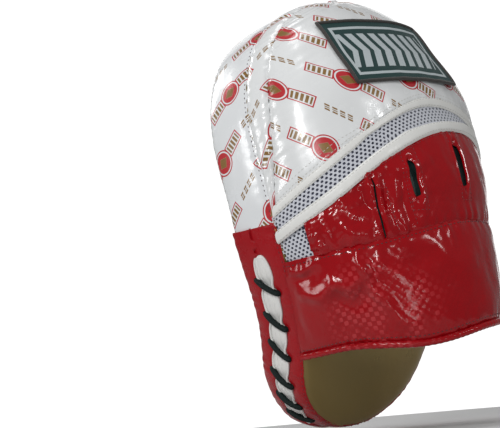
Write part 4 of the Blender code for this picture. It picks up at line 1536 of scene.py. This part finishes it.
@dataclass
class Netting:
    """Open netting between two seams: staggered oval holes in real strands, with a dark backing."""

    name: str
    low: Curve
    high: Curve
    first: float
    last: float
    tuck: float
    sink: float = 0.0
    pitch: float = 3.7
    row: float = 2.15

    def cells(self, reach: float, half: Callable[[Array], Array]) -> tuple[Array, list[tuple[int, ...]]]:
        """Lays out the strands round each hole, along and across the band.

        Args:
            reach: Length of the band.
            half: Half the width of the band at a length.

        Returns:
            Corners, and faces by their corners.
        """
        w, h = self.pitch / 2, self.row / 2
        rim = [(w, 0), (w, h), (0, h), (-w, h), (-w, 0), (-w, -h), (0, -h), (w, -h)]
        turns = np.arange(8) * np.pi / 4
        hole = list(zip(np.cos(turns) * self.pitch * 0.3, np.sin(turns) * self.row * 0.4))
        spots: list[tuple[float, float]] = []
        faces: list[tuple[int, ...]] = []
        tallest = int(half(np.linspace(0, reach, 50)).max() / self.row) + 2
        for j in range(-tallest, tallest + 1):
            for at in np.arange(w + (w if j % 2 else 0), reach - w, self.pitch):
                if abs(j) * self.row + h * 0.4 > half(at):
                    continue
                count = len(spots)
                spots += [(at + x, j * self.row + y) for x, y in (*rim, *hole)]
                pairs = [(count + k, count + (k + 1) % 8) for k in range(8)]
                faces += [(a, b, b + 8, a + 8) for a, b in pairs]
        return np.array(spots), faces

    def build(self) -> None:
        """Makes the netting and its backing."""
        angles = np.linspace(self.first, self.last, 400)
        low, high = through(self.low, angles), through(self.high, angles)
        middle = (low + high) / 2
        line = FORM.arch(angles, middle)
        reach = lengths_along(line)
        around = FORM.arch(angles + 0.5, middle) - FORM.arch(angles - 0.5, middle)
        rise = FORM.arch(angles, middle + 0.5) - FORM.arch(angles, middle - 0.5)
        ahead = np.gradient(line, axis=0)
        ahead /= np.linalg.norm(ahead, axis=1, keepdims=True)
        across = rise - ahead * np.sum(rise * ahead, axis=1, keepdims=True)
        across /= np.linalg.norm(across, axis=1, keepdims=True)
        gram = np.stack([around, rise], 1)
        steps = np.array([np.linalg.lstsq(g.T, a, rcond=None)[0] for g, a in zip(gram, across)])
        wide = (high - low) / 2 * np.sum(rise * across, axis=1) + self.tuck
        spots, faces = self.cells(reach[-1], lambda at: np.interp(at, reach, wide))
        angle = np.interp(spots[:, 0], reach, angles)
        turn, climb = (np.interp(spots[:, 0], reach, steps[:, k]) * spots[:, 1] for k in (0, 1))
        points = FORM.arch(angle + turn, np.interp(angle, angles, middle) + climb)
        normals = np.cross(around, rise)
        normals /= np.linalg.norm(normals, axis=1, keepdims=True)
        points -= np.stack([np.interp(spots[:, 0], reach, normals[:, k]) for k in range(3)], -1) * self.sink
        mesh = bpy.data.meshes.new(self.name)
        mesh.from_pydata((points * MM).tolist(), [], faces)
        lay_map(mesh, spots)
        obj = stand(self.name, mesh)
        face_out(obj, True)
        thicken(obj, 0.7)
        dress(obj, Finish.NETTING, replaces=(self.name,))
        behind = arch_between(self.low, self.high, self.first, self.last, (2, 2))
        back = Panel(self.name + "_backing", behind, 80, 4, -1.9 - self.sink, 0.6)
        dress(back.make(), Finish.BACKING)


# --- The hand cover and cuff -------------------------------------------------------------------------------------


@dataclass(frozen=True)
class Slit:
    """A finger slit in the hand cover: its angle, the heights of its two ends, and how wide it opens."""

    angle: float
    top: float
    bottom: float
    open: float


@dataclass(frozen=True)
class Fold:
    """A soft fold: a ridge or, with a negative height, a valley, from one place on the arch to another."""

    start: tuple[float, float]
    end: tuple[float, float]
    height: float
    width: float


def folds_on(folds: Sequence[Fold], angle: Array, height: Array) -> Array:
    """Height that folds give a surface.

    Args:
        folds: The folds.
        angle: Angles on the arch.
        height: Heights on the mitt.

    Returns:
        A height for each place.
    """
    total = np.zeros(np.shape(angle))
    for fold in folds:
        a = np.array([fold.start[0] * ARC, fold.start[1]])
        b = np.array([fold.end[0] * ARC, fold.end[1]])
        run = b - a
        size = np.dot(run, run)
        x, y = angle * ARC - a[0], height - a[1]
        t = np.clip((x * run[0] + y * run[1]) / size, 0, 1)
        bow = np.sin(t * np.pi) * 0.8 * fold.width
        long = math.sqrt(size)
        far = np.hypot(x - t * run[0] - bow * run[1] / long, y - t * run[1] + bow * run[0] / long)
        total = total + fold.height * np.exp(-((far / fold.width) ** 2)) * (0.55 + 0.45 * np.sin(t * np.pi))
    return total


@dataclass
class HandCover:
    """Patent leather over the back of the hand, with finger slits, folds and a lining."""

    first: float = 17.0
    slits: tuple[Slit, ...] = (Slit(51, 138, 113, 1.3), Slit(70.5, 143.5, 127.5, 5.0), Slit(99.5, 150, 131, 9.0))
    folds: tuple[Fold, ...] = (
        Fold((48, 140), (52, 134), 2.6, 2.6),
        Fold((52, 134), (54, 114), 1.9, 2.2),
        Fold((56, 137), (57, 114), -1.3, 1.5),
        Fold((61, 137), (60, 115), 1.2, 2.6),
        Fold((65, 137), (63, 116), -0.9, 1.3),
        Fold((45, 136), (50, 124), -1.8, 2.4),
        Fold((46, 143), (49, 136), -2.6, 2.0),
        Fold((32, 124), (44, 115), 1.8, 4.2),
        Fold((28, 122), (34, 108), -1.4, 2.6),
        Fold((20, 121), (23, 107), 1.6, 1.8),
        Fold((24, 119), (27, 108), -1.2, 1.6),
        Fold((36, 131), (44, 124), 1.2, 2.8),
        Fold((38, 126), (47, 128), -1.0, 2.0),
        Fold((58, 141), (80, 143), 1.3, 2.6),
        Fold((56, 138), (72, 136), -1.0, 2.2),
        Fold((74, 132), (72, 120), 0.9, 2.4),
        Fold((78, 126), (90, 122), -0.6, 3.0),
        Fold((88, 144), (96, 134), 0.7, 4.0),
        Fold((112, 146), (120, 128), 0.8, 5.0),
        Fold((140, 140), (150, 118), 0.9, 5.0),
        Fold((160, 130), (164, 112), -0.8, 4.0),
    )

    def share(self, angle: float) -> float:
        """The cut's first coordinate at an angle."""
        return (angle - self.first) / (180 - self.first)

    def ends(self, angle: Array) -> tuple[Array, Array]:
        """Heights of the cover's lower and upper edges at an angle."""
        return through(CUFF_TOP, angle) - 0.5, through(COVER_TOP, angle) + 0.8

    def place(self, u: Array, v: Array) -> tuple[Array, Array]:
        """Angle and height of a place on the cover."""
        angle = self.first + (180 - self.first) * u
        low, high = self.ends(angle)
        return angle, low + (high - low) * v

    def surface(self, u: Array, v: Array) -> Array:
        """Surface of the cover."""
        return FORM.arch(*self.place(u, v))

    def lift(self, u: Array, v: Array, along: Array, up: Array) -> Array:
        """Folds, gathers and the rolled lips of the slits.

        Args:
            u: Places across the cut, from 0 to 1.
            v: Places up the cut, from 0 to 1.
            along: Lengths along the cut.
            up: Lengths up the cut.

        Returns:
            Heights above the arch.
        """
        angle, height = self.place(u, v)
        near, far = up, up[-1] - up
        seams = -1.3 * np.exp(-near / 1.6) - 0.6 * np.exp(-far / 1.6)
        body = 1.5 * (1 - np.abs(2 * v - 1) ** 2.4)
        gathers = puckers(near, along, 9.5, 0.65, 9) + puckers(far, along + 3, 8.5, 0.5, 8)
        gathers += puckers((angle - self.first) * ARC, up, 5.5, 0.7, 6)
        total = body + seams + gathers + folds_on(self.folds, angle, height)
        for slit in self.slits:
            aside = np.abs(angle - slit.angle) * ARC
            outside = np.maximum(np.maximum(height - slit.top, slit.bottom - height), 0)
            far_off = np.hypot(aside, outside)
            total += 0.8 * np.exp(-((far_off - 2.4) ** 2) / 2.6) - 1.4 * np.exp(-((far_off / 1.5) ** 2))
        ground = np.stack([along, up, up * 0], -1)
        busy = np.exp(-(((angle - 42) / 34) ** 2))
        return total + waves(ground, 13, 21, 3) * (0.3 + 0.9 * busy) + waves(ground, 34, 22) * 0.5

    def build_cover(self) -> None:
        """The cover, with its slits opened."""
        shares = [self.share(slit.angle) for slit in self.slits]
        panel = Panel("hand_cover", self.surface, 180, 44, self.lift, 1.3, columns_at=shares)
        obj = panel.cut()
        self.open_slits(obj, panel)
        face_out(obj)
        thicken(obj, 1.3)
        dress(obj, Finish.PATENT, replaces=("hand_cover",))
        u = np.linspace(0.006, 0.994, 700)
        rows = [along_panel(panel, u, 0.945, 0.1)] + [self.stitch_box(panel, slit) for slit in self.slits[1:]]
        pleat = np.linspace(0.06, 0.72, 60)
        for angle in (57.5, 66.5):
            rows.append(along_panel(panel, self.share(angle) - 0.01 * pleat, pleat, 0.1))
        sew("cover_stitches", rows, Finish.THREAD_RED, (2.8, 1.9, 0.27))

    def stitch_box(self, panel: Panel, slit: Slit) -> tuple[Array, Array]:
        """Rectangular row of stitches round a slit.

        Args:
            panel: The finished panel.
            slit: The slit.

        Returns:
            The points and the normals.
        """
        corners = [(-5, 4.5), (5, 4.5), (5, -4.5), (-5, -4.5), (-5, 4.5)]
        ends = [(slit.angle + dx / ARC, (slit.top if dy > 0 else slit.bottom) + dy) for dx, dy in corners]
        steps = np.linspace(0, 4, 160)
        angle, height = (np.interp(steps, range(5), [e[k] for e in ends]) for k in (0, 1))
        low, high = self.ends(angle)
        return along_panel(panel, self.share(angle), (height - low) / (high - low), 0.1)

    def open_slits(self, obj: Object, panel: Panel) -> None:
        """Rips the sheet along each slit and draws its two edges apart.

        Args:
            obj: The piece.
            panel: The finished panel.
        """
        mesh = obj.data
        u, v = (grid.ravel() for grid in panel.grid())
        bm = bmesh.new()
        bm.from_mesh(mesh)
        bm.verts.ensure_lookup_table()
        angle, height = self.place(u, v)
        lay = bm.verts.layers.float_vector.new("spot")
        points, _ = panel.shape()
        order = {tuple(np.round(p * MM, 7)): i for i, p in enumerate(points.reshape(-1, 3))}
        for vert in bm.verts:
            i = order.get(tuple(np.round(vert.co, 7)), vert.index)
            vert[lay] = (angle[i], height[i], 0)
        for slit in self.slits:
            on_line = [
                e for e in bm.edges
                if all(abs(w[lay][0] - slit.angle) < 0.02 and slit.bottom <= w[lay][1] <= slit.top for w in e.verts)
            ]
            bmesh.ops.split_edges(bm, edges=on_line)
        for vert in bm.verts:
            a, h, _ = vert[lay]
            for slit in self.slits:
                aside = (a - slit.angle) * ARC
                if abs(aside) > 9 or not slit.bottom < h < slit.top:
                    continue
                sign = np.sign(aside)
                if abs(aside) < 0.03:
                    if not vert.is_boundary:
                        continue
                    faces_at = [sum(w[lay][0] for w in f.verts) / len(f.verts) for f in vert.link_faces]
                    sign = np.sign(np.mean(faces_at) - slit.angle)
                t = (h - slit.bottom) / (slit.top - slit.bottom)
                half = slit.open / 2 * (1 - abs(2 * t - 1) ** 6) ** 0.5
                step = FORM.arch(a + 0.5, h) - FORM.arch(a - 0.5, h)
                step = step / np.linalg.norm(step)
                vert.co += Vector(step * sign * half * math.exp(-abs(aside) / 3.5)) * MM
        bm.verts.layers.float_vector.remove(lay)
        bm.to_mesh(mesh)
        bm.free()

    def build_lining(self) -> None:
        """Dark lining under the cover, close behind the slits."""
        panel = Panel("cover_lining", self.surface, 110, 22, -2.9, 0.8)
        dress(panel.make(), Finish.LINING, replaces=("cover_lining",))

    def build(self) -> None:
        """The cover and its lining."""
        self.build_cover()
        self.build_lining()


@dataclass
class WristCuff:
    """Wide patent cuff with its seam, creases, rolled hem, padding and elastic web."""

    end: float = 161.0
    hem_radius: float = 2.3
    folds: tuple[Fold, ...] = (
        Fold((8, 90), (23, 96), 3.0, 3.6),
        Fold((23, 95), (38, 101), 3.2, 3.4),
        Fold((38, 101), (43, 88), 3.2, 3.2),
        Fold((43, 90), (54, 78), 2.2, 4.0),
        Fold((36, 108), (38, 101), 2.4, 2.6),
        Fold((22, 89), (36, 91), -2.4, 4.0),
        Fold((50, 106), (70, 107), -1.8, 3.6),
        Fold((4, 101), (17, 105), 1.8, 2.0),
        Fold((6, 97), (14, 101), -1.5, 2.0),
        Fold((2, 90), (5, 66), -0.9, 3.0),
        Fold((24, 92), (30, 76), -1.2, 5.5),
        Fold((70, 109), (92, 104), 1.2, 4.5),
        Fold((76, 99), (96, 92), -0.8, 6.0),
        Fold((104, 110), (112, 90), -0.9, 6.0),
        Fold((128, 108), (140, 86), 1.0, 6.0),
    )

    def surface(self, u: Array, v: Array) -> Array:
        """Surface of the cuff from its hem to its top seam."""
        return FORM.arch(*self.place(u, v))

    def place(self, u: Array, v: Array) -> tuple[Array, Array]:
        """Angle and height of a place on the cuff."""
        angle = self.end * u
        low, high = through(HEM, angle) - 0.5, through(CUFF_TOP, angle) + 0.4
        return angle, low + (high - low) * v

    def lift(self, u: Array, v: Array, along: Array, up: Array) -> Array:
        """Swell, gathers and creases of the padded cuff.

        Args:
            u: Places across the cut, from 0 to 1.
            v: Places up the cut, from 0 to 1.
            along: Lengths along the cut.
            up: Lengths up the cut.

        Returns:
            Heights above the arch.
        """
        angle, height = self.place(u, v)
        far = up[-1] - up
        body = 2.0 * (1 - np.abs(2 * v - 1) ** 3.5)
        seams = -1.5 * np.exp(-far / 1.8) * smooth((angle - 12) / 10) - 1.0 * np.exp(-up / 2.5)
        gathers = puckers(far, along, 10.5, 0.7, 9) + puckers(up, along + 5, 12, 0.45, 8)
        ground = np.stack([along, up, up * 0], -1)
        noise_part = waves(ground, 38, 31) * 0.8 + waves(ground, 12, 32, 3) * 0.22
        return body + seams + gathers + noise_part + folds_on(self.folds, angle, height)

    def build_cuff(self) -> None:
        """The padded cuff and its stitches."""
        panel = Panel("wrist_cuff", self.surface, 190, 56, self.lift, 1.4)
        obj = dress(panel.make(), Finish.PATENT, replaces=("wrist_cuff", "cuff_foam"))
        u = np.linspace(0.004, 0.996, 700)
        rows = [along_panel(panel, u, v, 0.1) for v in (0.955, 0.045)]
        sew("cuff_stitches", rows, Finish.THREAD_DARK, (3.0, 1.8, 0.3))

    def build_hem(self) -> None:
        """Rolled hem, a little uneven."""
        angles = np.linspace(0.5, self.end - 0.5, 260)
        points = FORM.arch(angles, through(HEM, angles) - 1.5)
        uneven = 1 + 0.10 * waves(points, 14, 41) + 0.05 * np.sin(angles * 2.1)
        obj = tube("cuff_hem", points, self.hem_radius * uneven, False, 12)
        dress(obj, Finish.PATENT, replaces=("cuff_hem",))

    def build_lining(self) -> None:
        """Lining inside the cuff, turned over its lower edge."""
        inner = arch_between(HEM, CUFF_TOP, 2, self.end - 1, (-0.5, -1.0))
        panel = Panel("cuff_lining", inner, 90, 24, lambda u, v, along, up: -7.0 + 5.2 * np.exp(-up / 5.0), 0.9)
        dress(panel.make(), Finish.LINING, replaces=("cuff_lining",))

    def build_web(self) -> None:
        """Gathered elastic web that closes the little finger's side."""

        def lift(u: Array, v: Array, along: Array, up: Array) -> Array:
            """How far the finished panel stands off its surface."""
            return -1.6 + 0.5 * np.sin(along * 1.25)

        web = arch_between(HEM, CUFF_TOP, self.end - 4, 180, (-1.5, -1.5))
        panel = Panel("elastic_web", web, 70, 12, lift, 1.2)
        dress(panel.make(), Finish.ELASTIC, replaces=("elastic_web",))

    def build(self) -> None:
        """The whole cuff."""
        self.build_cuff()
        self.build_hem()
        self.build_lining()
        self.build_web()


# --- The wrist strap and the grip --------------------------------------------------------------------------------


@dataclass
class WristStrap:
    """Hook-and-loop strap from the cuff to the pad's side."""

    root: float = 153.0
    height: float = 95.0
    drop: float = 12.0
    on_pad: float = 30.0
    tip_depth: float = 10.0
    half: float = 16.0
    rise: float = 3.6

    def line(self, along: Array, up: Array) -> Array:
        """Place under the strap, from its root at 0 to its tip at 1.

        Args:
            along: Places along it.
            up: Places across it, in millimetres from its middle.

        Returns:
            Points in millimetres.
        """
        height = self.height - self.drop * smooth(along * 1.3) + up
        bow = 180 - self.root
        run = along * (bow + self.on_pad)
        over = FORM.arch(np.minimum(self.root + run, 180), height)
        turn = -np.arccos(1 - 2 * height / FORM.tall) / np.pi
        down = np.clip(run - bow, 0, None) / self.on_pad
        side = FORM.wall(turn, FORM.deep - down * (FORM.deep - self.tip_depth))
        return np.where((run < bow)[..., None], over, side)

    def sheet(self, first: float, last: float, half: float) -> Surface:
        """Surface under part of the strap, with a rounded tip.

        Args:
            first: Where it starts.
            last: Where it ends.
            half: Half the width.

        Returns:
            The surface.
        """

        def surface(u: Array, v: Array) -> Array:
            """Where a place on the cut lies."""
            along = first + (last - first) * u
            tip = np.clip((along - 0.82) / 0.18, 0, 1)
            narrow = np.sqrt(np.clip(1 - (tip * 0.92) ** 3, 0, 1))
            return self.line(along, (2 * v - 1) * half * narrow)

        return surface

    def build(self) -> None:
        """The strap and its two patches."""

        def over(u: Array, v: Array, along: Array, up: Array) -> Array:
            """How far the strap stands off what is under it."""
            base, off = 2.2 + 0.4 + (self.rise - 0.4) * smooth(u / 0.5), np.abs(2 * v - 1)
            return base + 0.35 * (1 - off**6) - 0.4 * np.exp(-(((off - 0.8) / 0.05) ** 2))

        strap = Panel("wrist_strap", self.sheet(0, 1, self.half), 70, 24, over, 2.0)
        obj = strap.make()
        dress(obj, Finish.PATENT, "strap", ("wrist_strap",))
        hooks = Panel("hook_patch", self.sheet(0.6, 0.95, self.half - 3), 24, 10, self.rise - 0.4, 1.1)
        dress(hooks.make(), Finish.HOOKS, "strap", ("hook_patch",))
        loops = Panel("loop_patch", self.sheet(0.58, 0.97, self.half - 2.4), 24, 10, 2.2, 1.6)
        dress(loops.make(), Finish.LOOPS, "mitt", ("loop_patch",))


@dataclass
class PalmGrip:
    """Padded ball for the palm to close on."""

    centre: tuple[float, float, float] = (5.7, 1.0, -9.5)
    radii: tuple[float, float, float] = (27.0, 15.5, 24.0)

    def build(self) -> None:
        """The ball, with four panels sewn to a button."""
        deselect()
        bpy.ops.mesh.primitive_uv_sphere_add(segments=64, ring_count=32, radius=1, rotation=(math.pi / 2, 0, 0))
        obj = bpy.context.object
        bpy.ops.object.transform_apply(rotation=True)
        obj.name = obj.data.name = "palm_grip"
        co = np.array([v.co for v in obj.data.vertices])
        around = np.arctan2(co[:, 2], co[:, 0])
        flat = np.hypot(co[:, 0], co[:, 2])
        groove = np.exp(-((np.sin(2 * around) * flat * 7) ** 2)) * 0.05 + np.exp(-((flat / 0.12) ** 2)) * 0.06
        co = co * (1 - groove[:, None]) * self.radii + self.centre
        obj.data.vertices.foreach_set("co", (co * MM).ravel())
        lay_map(obj.data, co[:, [0, 2]])
        obj.data.update()
        only(obj)
        bpy.ops.object.shade_smooth()
        dress(obj, Finish.BRONZE, replaces=("palm_grip",))


# --- Studio ------------------------------------------------------------------------------------------------------


@dataclass
class Studio:
    """Floor, lights and camera."""

    azimuth: float = 135.5
    elevation: float = -4.225
    roll: float = -4.958
    distance: float = 1.491
    aim: tuple[float, float] = (-0.045876, 0.046541)
    pivot: tuple[float, float, float] = (0.0, -0.054, -0.0228)
    lens: float = 156.5
    floor_at: float = -0.128
    floor_radius: float = 0.45
    backdrop_size: float = 2.4
    backdrop_back: float = 3.0
    backdrop_glow: float = 0.85
    sky: float = 0.2
    softboxes: tuple[tuple[str, tuple[float, float, float], float, float], ...] = (
        ("key_light", (-0.62, -1.25, 0.7), 0.26, 7.5),
        ("camera_light", (-0.05, -1.75, 0.36), 0.14, 2.6),
        ("low_light", (0.45, -1.4, 0.05), 0.2, 0.9),
        ("right_light", (1.2, -0.8, 0.9), 0.3, 3.6),
        ("top_light", (-0.1, -0.1, 1.5), 0.6, 5.0),
        ("left_light", (-1.45, -0.35, 0.25), 0.4, 4.0),
        ("front_light", (-1.1, 0.9, 0.6), 0.5, 4.0),
    )

    def axes(self) -> Matrix:
        """Columns right, away and up of the view."""
        yaw = math.radians(360 - self.azimuth)
        turn = Matrix.Rotation(math.radians(self.roll), 3, "Y")
        tip = Matrix.Rotation(math.radians(self.elevation), 3, "X")
        return (turn @ tip @ Matrix.Rotation(yaw, 3, "Z")).transposed()

    def build_camera(self) -> None:
        """The camera, low and from behind the thumb's side."""
        axes = self.axes()
        right, away, up = axes.col[0], axes.col[1], axes.col[2]
        spot = Vector(self.pivot) + right * self.aim[0] + up * self.aim[1] - away * self.distance
        data = bpy.data.cameras.new("camera")
        data.lens, data.sensor_width = self.lens, 36
        camera = stand("camera", data)
        camera.matrix_world = Matrix.Translation(spot) @ Matrix((right, up, -away)).transposed().to_4x4()
        bpy.context.scene.camera = camera

    def softbox(self, name: str, place: tuple[float, float, float], size: float, power: float) -> None:
        """A square soft light, placed right, away and up from the mitt as the camera sees it.

        Args:
            name: Name of the light.
            place: Right, away and up from the mitt.
            size: Length of its side, in metres.
            power: Power in watts.
        """
        axes = self.axes()
        spot = axes.col[0] * place[0] + axes.col[1] * place[1] + Vector((0, 0, place[2]))
        data = bpy.data.lights.new(name, "AREA")
        data.size, data.energy = size, power
        light = stand(name, data)
        light.matrix_world = Matrix.Translation(spot) @ spot.to_track_quat("Z", "Y").to_matrix().to_4x4()

    def build(self) -> None:
        """Everything that isn't the mitt."""
        scene = bpy.context.scene
        scene.view_settings.view_transform = "Standard"
        deselect()
        bpy.ops.mesh.primitive_circle_add(
            vertices=96, radius=self.floor_radius, fill_type="NGON", location=(0, 0, self.floor_at)
        )
        floor = bpy.context.object
        floor.name = "floor"
        floor.data.materials.append(Dye("pale_floor").finish(Base_Color=(0.62, 0.62, 0.62), Roughness=0.9))
        behind = self.axes().col[1] * self.backdrop_back + Vector((0, 0, 0.5))
        bpy.ops.mesh.primitive_plane_add(size=self.backdrop_size, location=behind)
        backdrop = bpy.context.object
        backdrop.name = "backdrop"
        backdrop.rotation_euler = (math.pi / 2, 0, math.radians(self.azimuth))
        paper = Dye("backdrop_paper")
        backdrop.data.materials.append(paper.finish(
            Base_Color=(0.9, 0.9, 0.9), Roughness=0.9, Emission_Strength=self.backdrop_glow, Emission_Color=(1, 1, 1),
        ))
        world = bpy.data.worlds.new("studio")
        world.use_nodes = True
        background = world.node_tree.nodes["Background"]
        background.inputs[0].default_value = (1, 1, 1, 1)
        background.inputs[1].default_value = self.sky
        scene.world = world
        for name, place, size, power in self.softboxes:
            self.softbox(name, place, size, power)
        self.build_camera()


def main() -> None:
    """Builds the studio and every piece, in order."""
    logging.basicConfig(level=logging.INFO, format="%(message)s")
    Studio().build()
    for part in (StrikingPad(), LacedSide(), FingerHood(), HandCover(), WristCuff(), WristStrap(), PalmGrip()):
        part.build()


if __name__ == "__main__":
    main()
